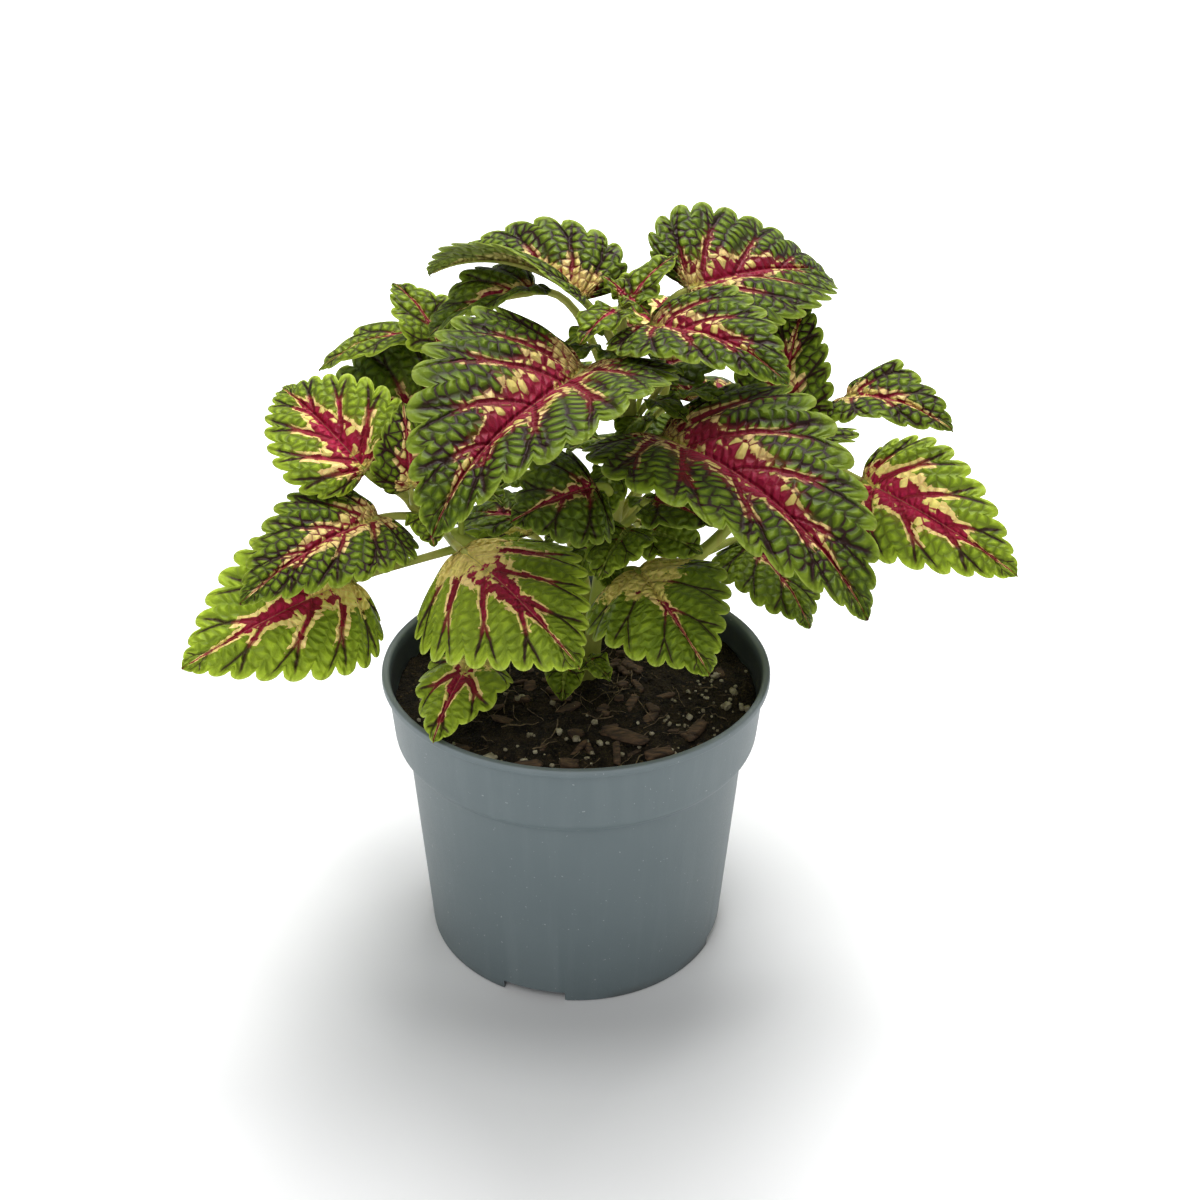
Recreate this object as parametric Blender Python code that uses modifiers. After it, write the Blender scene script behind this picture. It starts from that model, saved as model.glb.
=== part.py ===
"""A coleus in its plastic nursery pot.

Sizes are in millimetres. The origin is on the pot's axis, on the surface that the pot stands on,
with +Z up and the side that faces the viewer at -Y. Every leaf is placed by two points, where its
stalk meets its blade and where its tip is, so the table of leaves reads as a plan of the plant.
"""

from math import cos, pi, radians, sin
from random import Random
from typing import NamedTuple

import bmesh
import bpy
from mathutils import Matrix, Vector, noise

MM = 0.001                  # one millimetre in Blender's metres
GAP = 0.3                   # between pieces that touch
SEED = 7
SHARP = 50.0                # edges that bend more than this many degrees stay sharp

# Pot: a 12 cm nursery pot with a rolled lip, a collar and four arches in its foot
POT_HEIGHT = 95.0
LIP_RADIUS = 60.0
LIP_HEIGHT = 2.6
LIP_ROUND = 0.8
COLLAR_TOP_RADIUS = 58.4
COLLAR_FOOT_RADIUS = 56.8
COLLAR_FOOT = 73.2
BODY_TOP_RADIUS = 53.0
BODY_TOP = 69.6
BASE_RADIUS = 48.2
WALL = 1.2
FLOOR_RAISE = 4.0           # the ring of drain holes stands clear of the ground
PAD_RADIUS = 15.0           # the middle of the floor rests on the ground
PAD_SLOPE = 2.2
TURN_STEPS = 40
DRAIN_HOLES = 8
DRAIN_HOLE_RADIUS = 4.0
DRAIN_RING_RADIUS = 32.0
ARCHES = 4
ARCH_WIDTH = 20.0
ARCH_HEIGHT = 3.4
ARCH_TURN = -106.0          # the arch that shows at the front, in degrees from +X
HOLE_STEPS = 14

# Soil: peat with bark chips, a little below the rim
SOIL_EDGE = 84.5
SOIL_CROWN = 87.0
SOIL_RINGS = 7
SOIL_STEPS = 28
SOIL_LUMP = 1.3
LUMPS_PER_MM = 0.16
CHIPS = 14
CHIP_SIZE = (8.0, 3.4, 1.6)
CHIP_REACH = (14.0, 48.0)   # nearest and farthest from the pot's axis
CHIP_SCALE = (0.7, 1.2)
CHIP_TILT = 0.3
CHIP_SINK = 0.6

# Leaves
BLADE = 0.7                 # thickness of a blade
STALK = 1.15                # radius of a large leaf's stalk
SMALL_LEAF = 30.0           # a narrower leaf has a thinner stalk
SMALL_STALK = 0.7
STALK_TAPER = 0.25          # a stalk is this much thicker at its foot
STALK_SIDES = 6
STALK_POINTS = 3
STALK_REACH = 0.35          # how far the stalk's end handles lie along it
RIB_RUN = 0.30              # the stalk runs on under this share of the blade as its rib
SCALLOP = 0.11              # depth of an edge lobe, as a share of the blade's reach
LOBE_SHAPE = 0.7            # under 1 makes the lobes round and the notches narrow
LOBE_MIDDLE = 0.6
HALF_WAY = 0.55             # where the blade's bend between rib and edge is taken
RIPPLES = 3.5               # waves of the edge along each side

# Half of a blade seen flat: along its length, across in widths, and where the side vein that
# ends there leaves the middle rib
OUTLINE = (
    (0.00, 0.00, 0.00),
    (-0.05, 0.11, 0.00),
    (-0.07, 0.24, 0.00),
    (-0.02, 0.38, 0.00),
    (0.09, 0.475, 0.02),
    (0.23, 0.50, 0.08),
    (0.38, 0.465, 0.18),
    (0.53, 0.395, 0.32),
    (0.68, 0.30, 0.48),
    (0.80, 0.20, 0.63),
    (0.90, 0.10, 0.78),
    (0.96, 0.04, 0.90),
    (1.00, 0.00, 1.00),
)

# Colour and roughness of a piece, by the first word of its name
FINISHES = {
    "pot": ((0.20, 0.24, 0.26), 0.55),
    "soil": ((0.035, 0.022, 0.014), 0.95),
    "stem": ((0.42, 0.44, 0.20), 0.5),
    "shoot": ((0.40, 0.46, 0.16), 0.5),
    "leaf": ((0.30, 0.38, 0.10), 0.5),
}


class Stem(NamedTuple):
    """A stem or branch with the square section of the mint family."""
    node: str
    points: tuple            # centre line from foot to tip
    thick: tuple             # half its diagonal at foot and tip


class Leaf(NamedTuple):
    """A leaf: where it grows, where it reaches and how it bends, in millimetres and degrees."""
    name: str
    stem: str
    up: float                # where its stalk leaves the stem, as a share of the stem's length
    base: tuple              # where stalk and blade meet
    tip: tuple
    width: float
    roll: float = 0.0        # turns the blade about its length, right side down
    fold: float = -21.0      # each half leaves the rib at this slope downward, so minus is upward
    sag: float = 26.0        # and bends down towards its edge by this much
    rise: float = 18.0       # the rib climbs from the base
    droop: float = 22.0      # and falls at the tip
    wave: float = 1.2        # ripple of the edge
    lobes: int = 8           # on each side


STEMS = {
    "main": Stem("stem", ((3, 4, 48), (4, 3, 88), (7, 2, 115), (11, 1, 145), (15, 0, 172), (13, 1, 198)),
                 (3.9, 2.2)),
    "left": Stem("stem", ((5, 3, 98), (-10, 8, 114), (-28, 10, 128), (-44, 6, 140), (-51, 1, 152)), (2.6, 1.7)),
    "right": Stem("stem", ((6, 2, 104), (22, 3, 117), (38, 3, 131), (54, 8, 147), (68, 16, 164)), (2.6, 1.7)),
    "back": Stem("stem", ((5, 3, 104), (0, 16, 124), (-12, 28, 150), (-24, 36, 172)), (2.6, 1.7)),
    "back_right": Stem("stem", ((8, 2, 118), (16, 16, 136), (24, 30, 156), (28, 40, 172)), (2.4, 1.6)),
    "crown": Stem("shoot_crown", ((13, 1, 198.3), (12.6, 1, 204), (12.4, 0, 209)), (2.0, 1.0)),
    "foot": Stem("shoot_foot", ((4, 3, 94), (1, -8, 99), (-2, -16, 106)), (1.6, 1.0)),
    "inner": Stem("shoot_inner", ((10, 1, 138), (16, -6, 146), (20, -10, 154)), (1.6, 1.0)),
}

LEAVES = (
    # The crown: two crossed pairs, and the pair under them that hangs to the front
    Leaf("leaf_crown_back_right", "main", 0.93, (31, 8, 210), (78, 50, 201), 50, roll=28, fold=-26, lobes=9),
    Leaf("leaf_crown_front_right", "main", 0.97, (20, -6, 204), (53, -45, 201), 37,
         roll=18, fold=-22, droop=35, lobes=9),
    Leaf("leaf_crown_back_left", "main", 0.95, (2, 6, 208), (-44, 40, 205), 41,
         fold=-40, sag=20, rise=35, droop=30, lobes=9),
    Leaf("leaf_front_left", "main", 0.84, (2, -13, 194), (-34, -80, 176), 65,
         roll=-9, fold=-34, rise=12, droop=45, lobes=10),
    Leaf("leaf_front_right", "main", 0.70, (24, -10, 173), (72, -75, 151), 62,
         roll=11, fold=-28, rise=26, droop=40, lobes=10),
    Leaf("leaf_behind_crown", "main", 0.82, (-12, 18, 207), (-42, 8, 196), 36, fold=-28),
    # The right branch
    Leaf("leaf_far_right", "right", 0.95, (85, 8, 152), (122, -32, 141), 41, roll=40, fold=-16, lobes=9),
    Leaf("leaf_right_upper", "right", 0.98, (82, 13, 176), (105, -10, 175), 25, rise=30, droop=30, lobes=7),
    Leaf("leaf_right_upright", "right", 0.80, (60, 13, 170), (67, 27, 201), 30),
    Leaf("leaf_low_right", "right", 0.50, (54, 17, 127), (70, -10, 112), 34, fold=-5),
    # The left branch
    Leaf("leaf_left_upper", "left", 0.97, (-60, -5, 161), (-89, 30, 173), 41, roll=-25, fold=-28, lobes=9),
    Leaf("leaf_left_small", "left", 0.88, (-47, -8, 157), (-49, 0, 180), 22, fold=-5, lobes=6),
    Leaf("leaf_left_middle", "left", 0.79, (-57, -9, 148), (-89, -50, 142), 39, roll=-22, fold=-16, lobes=9),
    Leaf("leaf_left_young", "left", 0.74, (-43, -10, 149), (-40, -20, 144), 13, lobes=5),
    Leaf("leaf_far_left", "left", 0.55, (-67, -6, 126), (-107, -50, 122), 49, roll=-42, fold=-6, lobes=9),
    Leaf("leaf_low_front_left", "left", 0.68, (-32, -20, 143), (1, -66, 132), 57, roll=22, fold=13, lobes=9),
    # The back branches
    Leaf("leaf_left_shaded", "back", 0.48, (-45, 33, 163), (-82, 38, 161), 54, roll=-32, fold=-37),
    Leaf("leaf_back_left_low", "back", 0.80, (-47, 42, 187), (-78, 32, 178), 28, fold=-15, lobes=6),
    Leaf("leaf_back_left_upright", "back", 0.97, (-40, 26, 188), (-55, 42, 202), 24, lobes=6),
    Leaf("leaf_back_middle", "back", 0.74, (-14, 50, 165), (-20, 94, 150), 50),
    Leaf("leaf_back_left", "back", 0.64, (-40, 56, 147), (-62, 84, 134), 44),
    Leaf("leaf_back_high", "back_right", 0.95, (27, 50, 180), (32, 88, 184), 40),
    Leaf("leaf_back_right", "back_right", 0.75, (38, 52, 160), (66, 84, 148), 46),
    Leaf("leaf_right_behind", "right", 0.75, (66, 38, 152), (82, 74, 138), 40),
    Leaf("leaf_back_low_left", "main", 0.25, (-14, 38, 120), (-36, 80, 96), 44),
    Leaf("leaf_back_low_right", "main", 0.40, (20, 38, 124), (30, 84, 94), 46),
    # Inside the plant and at its foot
    Leaf("leaf_rim_front", "main", 0.36, (-30, -20, 108), (-40, -50, 98), 28, fold=0, lobes=6),
    Leaf("leaf_low_front_right", "main", 0.45, (18, -9, 131), (36, -53, 122), 44, roll=20, fold=1),
    Leaf("leaf_inner_front", "main", 0.60, (5, -16, 161), (-18, -27, 155), 34, roll=-34, fold=-5, lobes=7),
    Leaf("leaf_inner_left", "main", 0.50, (-17, 10, 139), (-38, 25, 131), 25, roll=-10, lobes=6),
    Leaf("leaf_inner_right", "main", 0.66, (22, 10, 158), (48, 22, 156), 34, roll=20, lobes=6),
    Leaf("leaf_inner_upper", "main", 0.76, (25, 14, 185), (48, 21, 188), 27, roll=15, lobes=6),
    Leaf("leaf_inner_back", "main", 0.55, (5, 18, 158), (3, 37, 153), 26, lobes=5),
    Leaf("leaf_inner_low", "main", 0.45, (15, -11, 145), (6, -25, 136), 22, lobes=6),
    Leaf("leaf_inner_low_right", "main", 0.52, (21, -4, 141), (37, -10, 137), 20, roll=25, lobes=5),
    # Young leaves, one body with their shoot
    Leaf("young", "crown", 0.8, (15, 0, 209), (28, 10, 219), 15, lobes=5),
    Leaf("young", "crown", 0.8, (11, -6, 208), (1, -19, 203), 12, lobes=5),
    Leaf("young", "foot", 0.9, (-3, -22, 106), (-4, -31, 98), 11, lobes=4),
    Leaf("young", "foot", 0.9, (3, -20, 107), (11, -28, 103), 10, lobes=4),
    Leaf("young", "inner", 0.9, (22, -13, 155), (39, -23, 152), 22, roll=20, lobes=5),
)


def smooth(points, share):
    """A point on the smooth line through the given ones, at a share of its length from 0 to 1."""
    points = [Vector(p) for p in points]
    place = min(max(share, 0.0), 1.0) * (len(points) - 1)
    k = min(int(place), len(points) - 2)
    f = place - k
    a, b = points[k], points[k + 1]
    before = points[k - 1] if k else a * 2 - b
    after = points[k + 2] if k + 2 < len(points) else b * 2 - a
    return 0.5 * (2 * a + (b - before) * f + (2 * before - 5 * a + 4 * b - after) * f * f
                  + (3 * a - 3 * b + after - before) * f ** 3)


def bezier(a, b, c, d, f):
    return a * (1 - f) ** 3 + b * 3 * f * (1 - f) ** 2 + c * 3 * f * f * (1 - f) + d * f ** 3


def leaf_frame(leaf):
    """The rib's four handles and the normal of a leaf before it bends."""
    base, tip = Vector(leaf.base), Vector(leaf.tip)
    along = (tip - base).normalized()
    normal = (Vector((0, 0, 1)) - along * along.z).normalized()
    normal = Matrix.Rotation(radians(leaf.roll), 3, along) @ normal
    length = (tip - base).length
    start = along * cos(radians(leaf.rise)) + normal * sin(radians(leaf.rise))
    end = along * cos(radians(leaf.droop)) - normal * sin(radians(leaf.droop))
    return (base, base + start * length / 3, tip - end * length / 3, tip), normal


def blade_point(leaf, around, out):
    """A point of the blade: around the half outline from 0 at the stalk to 1 at the tip, and out
    from the rib at 0 to the edge at 1, with a minus sign on the left side."""
    handles, normal = leaf_frame(leaf)
    length = (handles[3] - handles[0]).length
    side, s = (1 if out >= 0 else -1), abs(out)
    edge = smooth(OUTLINE, around)
    foot = max(edge.z, 0.0)
    lobe = abs(sin(pi * leaf.lobes * around)) ** LOBE_SHAPE
    grow = 1 + SCALLOP * (lobe - LOBE_MIDDLE) * min(1, 8 * around, 8 * (1 - around))
    x = foot + s * grow * (edge.x - foot)
    across = s * grow * edge.y * leaf.width
    step = 0.01
    ahead, behind = min(max(x, 0) + step, 1), max(min(x, 1) - step, 0)
    heading = (bezier(*handles, ahead) - bezier(*handles, behind)).normalized()
    rib = bezier(*handles, max(x, 0)) + heading * min(x, 0) * length
    right = heading.cross(normal).normalized()
    above = right.cross(heading)
    slope = radians(leaf.fold + leaf.sag * s / 2)
    ripple = 2 * leaf.wave * s * across / leaf.width * sin(2 * pi * (RIPPLES * around + 0.31 * side))
    return rib + right * side * across * cos(slope) + above * (ripple - across * sin(slope))


def clear_scene():
    for thing in list(bpy.data.objects):
        bpy.data.objects.remove(thing, do_unlink=True)


def collection(name):
    made = bpy.data.collections.new(name)
    bpy.context.scene.collection.children.link(made)
    return made


def new_object(name, data, into):
    thing = bpy.data.objects.new(name, data)
    into.objects.link(thing)
    return thing


def mesh_object(name, shape, into):
    """An object made of a bmesh, which is used up."""
    mesh = bpy.data.meshes.new(name)
    shape.to_mesh(mesh)
    shape.free()
    return new_object(name, mesh, into)


def solid(thing, into):
    """Replaces an object by a plain mesh object of the same name, with doubled points welded."""
    graph = bpy.context.evaluated_depsgraph_get()
    mesh = bpy.data.meshes.new_from_object(thing.evaluated_get(graph))
    shape = bmesh.new()
    shape.from_mesh(mesh)
    bmesh.ops.remove_doubles(shape, verts=shape.verts, dist=1e-6)
    name = thing.name
    bpy.data.objects.remove(thing, do_unlink=True)
    return mesh_object(name, shape, into)


def combine(first, others, operation, into):
    """One Boolean of a piece with a list of others, applied, with the others removed."""
    operands = collection("operands")
    for other in others:
        operands.objects.link(other)
    change = first.modifiers.new(operation.lower(), "BOOLEAN")
    change.operation = operation
    change.operand_type = "COLLECTION"
    change.collection = operands
    change.solver = "EXACT"
    made = solid(first, into)
    for other in others:
        bpy.data.objects.remove(other, do_unlink=True)
    bpy.data.collections.remove(operands)
    return made


def turned(name, profile, steps, into):
    """A profile in the XZ plane turned about the Z axis."""
    shape = bmesh.new()
    points = [shape.verts.new((r * MM, 0, z * MM)) for r, z in profile]
    for a, b in zip(points, points[1:]):
        shape.edges.new((a, b))
    thing = mesh_object(name, shape, into)
    screw = thing.modifiers.new("turn", "SCREW")
    screw.axis = "Z"
    screw.steps = screw.render_steps = steps
    screw.use_merge_vertices = True
    screw.merge_threshold = 0.00001
    return solid(thing, into)


def tube(name, points, radii, sides, into):
    """A closed tube through points in millimetres, with four or six sides."""
    curve = bpy.data.curves.new(name, "CURVE")
    curve.dimensions = "3D"
    curve.bevel_depth = MM
    curve.bevel_resolution = (sides - 4) // 2
    curve.use_fill_caps = True
    line = curve.splines.new("POLY")
    line.points.add(len(points) - 1)
    for knot, point, radius in zip(line.points, points, radii):
        knot.co = (*(point * MM), 1)
        knot.radius = radius
    return solid(new_object(name, curve, into), into)


def box(name, size, place, into):
    shape = bmesh.new()
    scale = Matrix.Diagonal((*(v * MM for v in size), 1))
    bmesh.ops.create_cube(shape, size=1, matrix=place @ scale)
    return mesh_object(name, shape, into)


def cylinder(name, radius, low, high, x, y, into):
    shape = bmesh.new()
    place = Matrix.Translation((x * MM, y * MM, (low + high) / 2 * MM))
    bmesh.ops.create_cone(shape, cap_ends=True, segments=HOLE_STEPS, radius1=radius * MM,
                          radius2=radius * MM, depth=(high - low) * MM, matrix=place)
    return mesh_object(name, shape, into)


def finish(thing):
    """Smooth shading on the curved faces, and the piece's own material."""
    mesh = thing.data
    for face in mesh.polygons:
        face.use_smooth = True
    mesh.set_sharp_from_angle(angle=radians(SHARP))
    colour, roughness = FINISHES[thing.name.split("_")[0]]
    material = bpy.data.materials.new(thing.name)
    material.use_nodes = True
    shader = material.node_tree.nodes["Principled BSDF"]
    shader.inputs["Base Color"].default_value = (*colour, 1)
    shader.inputs["Roughness"].default_value = roughness
    shader.inputs["Metallic"].default_value = 0.0
    mesh.materials.clear()
    mesh.materials.append(material)


def make_pot(into):
    floor_top = FLOOR_RAISE + WALL
    pad_foot = PAD_RADIUS + PAD_SLOPE
    profile = (
        (0, WALL),
        (PAD_RADIUS - WALL / 2, WALL),
        (pad_foot - WALL / 2, floor_top),
        (BASE_RADIUS - WALL, floor_top),
        (BODY_TOP_RADIUS - WALL, BODY_TOP + WALL / 2),
        (COLLAR_FOOT_RADIUS - WALL, COLLAR_FOOT + WALL / 2),
        (COLLAR_TOP_RADIUS - WALL, POT_HEIGHT - LIP_HEIGHT),
        (COLLAR_TOP_RADIUS - WALL / 2, POT_HEIGHT),
        (LIP_RADIUS - LIP_ROUND, POT_HEIGHT),
        (LIP_RADIUS, POT_HEIGHT - LIP_ROUND),
        (LIP_RADIUS, POT_HEIGHT - LIP_HEIGHT + LIP_ROUND / 2),
        (COLLAR_TOP_RADIUS, POT_HEIGHT - LIP_HEIGHT),
        (COLLAR_FOOT_RADIUS, COLLAR_FOOT),
        (BODY_TOP_RADIUS, BODY_TOP),
        (BASE_RADIUS, 0),
        (BASE_RADIUS - WALL, 0),
        (BASE_RADIUS - WALL, FLOOR_RAISE),
        (pad_foot, FLOOR_RAISE),
        (PAD_RADIUS, 0),
        (0, 0),
    )
    cutters = []
    for k in range(DRAIN_HOLES):
        turn = 2 * pi * k / DRAIN_HOLES
        x, y = DRAIN_RING_RADIUS * cos(turn), DRAIN_RING_RADIUS * sin(turn)
        cutters.append(cylinder("drain_hole", DRAIN_HOLE_RADIUS, 0, 2 * floor_top, x, y, into))
    for k in range(ARCHES):
        turn = Matrix.Rotation(radians(ARCH_TURN + 360 / ARCHES * k), 4, "Z")
        place = turn @ Matrix.Translation((BASE_RADIUS * MM, 0, 0))
        cutters.append(box("arch", (6 * WALL, ARCH_WIDTH, 2 * ARCH_HEIGHT), place, into))
    return combine(turned("pot", profile, TURN_STEPS, into), cutters, "DIFFERENCE", into)


def soil_profile():
    """The soil's half section: its domed top from the axis out, then down inside the pot."""
    collar_foot = COLLAR_FOOT_RADIUS - WALL - GAP
    collar_slope = (COLLAR_TOP_RADIUS - COLLAR_FOOT_RADIUS) / (POT_HEIGHT - COLLAR_FOOT)
    edge = collar_foot + collar_slope * (SOIL_EDGE - COLLAR_FOOT)
    floor_top = FLOOR_RAISE + WALL + GAP
    shares = [k / SOIL_RINGS for k in range(SOIL_RINGS + 1)]
    top = [(edge * f, SOIL_CROWN + (SOIL_EDGE - SOIL_CROWN) * f * f) for f in shares]
    return top + [
        (collar_foot, COLLAR_FOOT + WALL / 2 + GAP),
        (BODY_TOP_RADIUS - WALL - GAP, BODY_TOP + WALL / 2 + GAP),
        (BASE_RADIUS - WALL - 2 * GAP, floor_top),
        (PAD_RADIUS + PAD_SLOPE - WALL / 2, floor_top),
        (PAD_RADIUS - WALL / 2 - 2 * GAP, WALL + GAP),
        (0, WALL + GAP),
    ]


def make_chips(into):
    """Bark chips that lie half sunk in the soil."""
    draw = Random(SEED)
    chips = []
    for _ in range(CHIPS):
        reach, turn = draw.uniform(*CHIP_REACH), draw.uniform(0, 2 * pi)
        height = SOIL_CROWN - CHIP_SINK
        place = Matrix.Translation((reach * cos(turn) * MM, reach * sin(turn) * MM, height * MM))
        heading = Matrix.Rotation(draw.uniform(0, pi), 4, "Z")
        tilt = Matrix.Rotation(draw.uniform(-CHIP_TILT, CHIP_TILT), 4, "Y")
        size = [v * draw.uniform(*CHIP_SCALE) for v in CHIP_SIZE]
        chips.append(box("chip", size, place @ heading @ tilt, into))
    return chips


def make_soil(into):
    soil = turned("soil", soil_profile(), SOIL_STEPS, into)
    for point in soil.data.vertices:
        place = point.co / MM
        if place.z > SOIL_EDGE + GAP:
            point.co.z += SOIL_LUMP * MM * noise.noise(place * LUMPS_PER_MM)
    soil = combine(soil, make_chips(into), "UNION", into)
    x, y, foot = STEMS["main"].points[0]
    under_foot = cylinder("under_foot", STEMS["main"].thick[0] + GAP, foot - GAP, foot + 1, x, y, into)
    return combine(soil, [stem_tube("main", GAP, into), under_foot], "DIFFERENCE", into)


def stem_point(name, share):
    return smooth(STEMS[name].points, share)


def stem_tube(name, extra, into):
    """A stem as a tube, thicker by some extra."""
    stem = STEMS[name]
    count = 3 * (len(stem.points) - 1)
    shares = [k / count for k in range(count + 1)]
    points = [stem_point(name, f) for f in shares]
    radii = [stem.thick[0] + (stem.thick[1] - stem.thick[0]) * f + extra for f in shares]
    return tube("stem_" + name, points, radii, 4, into)


def make_blade(leaf, into):
    """A blade as one triangulated sheet with its edge lobes, thickened."""
    sheet = bmesh.new()

    def corner(k, out):
        return sheet.verts.new(blade_point(leaf, k / (2 * leaf.lobes), out) * MM)

    for side in (-1, 1):
        notches = [[corner(2 * k, side * out) for out in (0, HALF_WAY, 1)] for k in range(leaf.lobes + 1)]
        peaks = [corner(2 * k + 1, side) for k in range(leaf.lobes)]
        for (rib_a, half_a, edge_a), (rib_b, half_b, edge_b), peak in zip(notches, notches[1:], peaks):
            triangles = ((rib_a, half_a, rib_b), (rib_b, half_a, half_b), (half_a, peak, half_b),
                         (half_a, edge_a, peak), (half_b, peak, edge_b))
            for corners in triangles:
                sheet.faces.new(corners[::-1] if side > 0 else corners)
    bmesh.ops.remove_doubles(sheet, verts=sheet.verts, dist=0.02 * MM)
    bmesh.ops.recalc_face_normals(sheet, faces=sheet.faces)
    blade = mesh_object(leaf.name, sheet, into)
    thick = blade.modifiers.new("thickness", "SOLIDIFY")
    thick.thickness = BLADE * MM
    thick.offset = 0
    thick.use_even_offset = False
    return solid(blade, into)


def make_stalk(leaf, into):
    """The stalk from the middle of its stem to the blade, and on under it as the rib."""
    handles, normal = leaf_frame(leaf)
    foot = stem_point(leaf.stem, leaf.up)
    reach = (handles[0] - foot).length
    heading = (handles[1] - handles[0]).normalized()
    size = STALK * (SMALL_STALK if leaf.width < SMALL_LEAF else 1)
    sink = normal * 0.5 * size
    start = foot.lerp(handles[0], STALK_REACH)
    end = handles[0] - heading * reach * STALK_REACH
    points, radii = [], []
    for k in range(STALK_POINTS + 1):
        f = k / STALK_POINTS
        points.append(bezier(foot, start, end, handles[0], f) - sink * f)
        radii.append(size * (1 + STALK_TAPER * (1 - f)))
    for f in (0.5, 1):
        points.append(bezier(*handles, RIB_RUN * f) - sink * (1 - 0.4 * f))
        radii.append(size * (1 - 0.7 * f))
    return tube(leaf.name + "_stalk", points, radii, STALK_SIDES, into)


def clear_of_stem(piece, into):
    """Cuts back a stalk or shoot that starts inside the stem, leaving the gap."""
    clearance = [stem_tube(name, GAP, into) for name in STEMS if STEMS[name].node == "stem"]
    return combine(piece, clearance, "DIFFERENCE", into)


def fuse(name, pieces, into):
    first, *others = pieces
    made = combine(first, others, "UNION", into)
    made.name = made.data.name = name
    return made


def make_leaf(leaf, into):
    stalk = clear_of_stem(make_stalk(leaf, into), into)
    return fuse(leaf.name, [make_blade(leaf, into), stalk], into)


def make_shoot(name, into):
    """A side shoot or tip with its young leaves, in one body."""
    pieces = [clear_of_stem(stem_tube(name, 0, into), into)]
    for leaf in LEAVES:
        if leaf.stem == name:
            pieces += [make_blade(leaf, into), make_stalk(leaf, into)]
    return fuse(STEMS[name].node, pieces, into)


def main():
    clear_scene()
    plant = collection("coleus")
    stems = [name for name, stem in STEMS.items() if stem.node == "stem"]
    pieces = [make_pot(plant), make_soil(plant)]
    pieces.append(fuse("stem", [stem_tube(name, 0, plant) for name in stems], plant))
    pieces += [make_leaf(leaf, plant) for leaf in LEAVES if leaf.stem in stems]
    pieces += [make_shoot(name, plant) for name in STEMS if name not in stems]
    for piece in pieces:
        finish(piece)


if __name__ == "__main__":
    main()
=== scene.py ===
"""A bushy coleus in a round plastic nursery pot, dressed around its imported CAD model.

Lengths in the tables are millimetres and angles are degrees. Everything that is built is in metres.
"""
from math import cos, exp, pi, radians, sin
from random import Random
from typing import NamedTuple

import bmesh
import bpy
from mathutils import Matrix, Vector, noise


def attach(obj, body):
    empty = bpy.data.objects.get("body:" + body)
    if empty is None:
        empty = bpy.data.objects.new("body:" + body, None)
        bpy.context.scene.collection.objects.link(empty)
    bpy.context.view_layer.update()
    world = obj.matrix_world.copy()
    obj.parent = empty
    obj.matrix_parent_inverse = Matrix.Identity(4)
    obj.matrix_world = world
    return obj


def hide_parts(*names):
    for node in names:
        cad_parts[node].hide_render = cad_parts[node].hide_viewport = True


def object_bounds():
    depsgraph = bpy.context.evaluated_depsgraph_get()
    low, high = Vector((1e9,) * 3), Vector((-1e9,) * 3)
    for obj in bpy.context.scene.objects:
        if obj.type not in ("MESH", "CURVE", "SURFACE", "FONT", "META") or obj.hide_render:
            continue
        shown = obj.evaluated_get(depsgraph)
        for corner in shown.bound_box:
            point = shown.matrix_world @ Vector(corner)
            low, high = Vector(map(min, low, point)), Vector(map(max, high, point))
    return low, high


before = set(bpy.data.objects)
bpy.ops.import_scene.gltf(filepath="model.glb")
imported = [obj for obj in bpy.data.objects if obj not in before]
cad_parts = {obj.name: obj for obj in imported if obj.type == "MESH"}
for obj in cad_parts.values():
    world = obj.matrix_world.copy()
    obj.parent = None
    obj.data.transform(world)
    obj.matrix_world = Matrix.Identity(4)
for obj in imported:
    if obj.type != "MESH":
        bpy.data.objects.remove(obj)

MM = 0.001
cad_low, cad_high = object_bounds()

# sizes of the pot
POT_HEIGHT = 95.0
LIP_RADIUS, LIP_HEIGHT, LIP_ROUND = 60.0, 2.6, 0.8
COLLAR_TOP_RADIUS, COLLAR_FOOT_RADIUS, COLLAR_FOOT = 58.4, 56.8, 73.2
BODY_TOP_RADIUS, BODY_TOP, BASE_RADIUS = 53.0, 69.6, 48.2
WALL, FLOOR_RAISE, PAD_RADIUS, PAD_SLOPE = 1.2, 4.0, 15.0, 2.2
DRAIN_HOLES, DRAIN_HOLE_RADIUS, DRAIN_RING_RADIUS = 8, 4.0, 32.0
ARCHES, ARCH_WIDTH, ARCH_HEIGHT, ARCH_TURN = 4, 20.0, 3.4, -106.0
POT_STEPS, HOLE_STEPS, CORNER_STEPS = 160, 28, 4

# the soil
SOIL_EDGE, SOIL_CROWN, SOIL_GAP = 84.5, 87.0, 0.3
SOIL_STEPS, SOIL_RINGS = 200, 80
CRUMBS = ((1.3, 0.16), (0.9, 0.45), (0.45, 1.1))  # height, and lumps per mm
CRUMB_SLICE = 9.0  # where the noise is cut
SOIL_SEED = 7
LARGE_CHIPS = (  # x, y, length, width, angle
    (14, -30, 15, 5.5, -32), (24, -38, 9, 4, 20), (-16, -46, 13, 6, 5),
    (-28, -44, 9, 5, -20), (36, -26, 10, 4, 60), (-2, -44, 6, 4, 10),
)
LARGE_GRIT = (  # x, y, size
    (-25, -41, 4.6), (-16, -45, 3.6), (13, -45, 3.2), (7, -33, 2.4), (-5, -28, 2.8),
    (46, -12, 3.6), (49, -4, 3.2), (44, 5, 3.0), (34, -28, 2.6), (19, -33, 2.2),
)
SMALL_CHIPS, FIBRES, SMALL_GRIT = 70, 100, 150
FIBRE_STEPS, FIBRE_SIDES, FIBRE_REACH = 6, 5, 54
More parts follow.
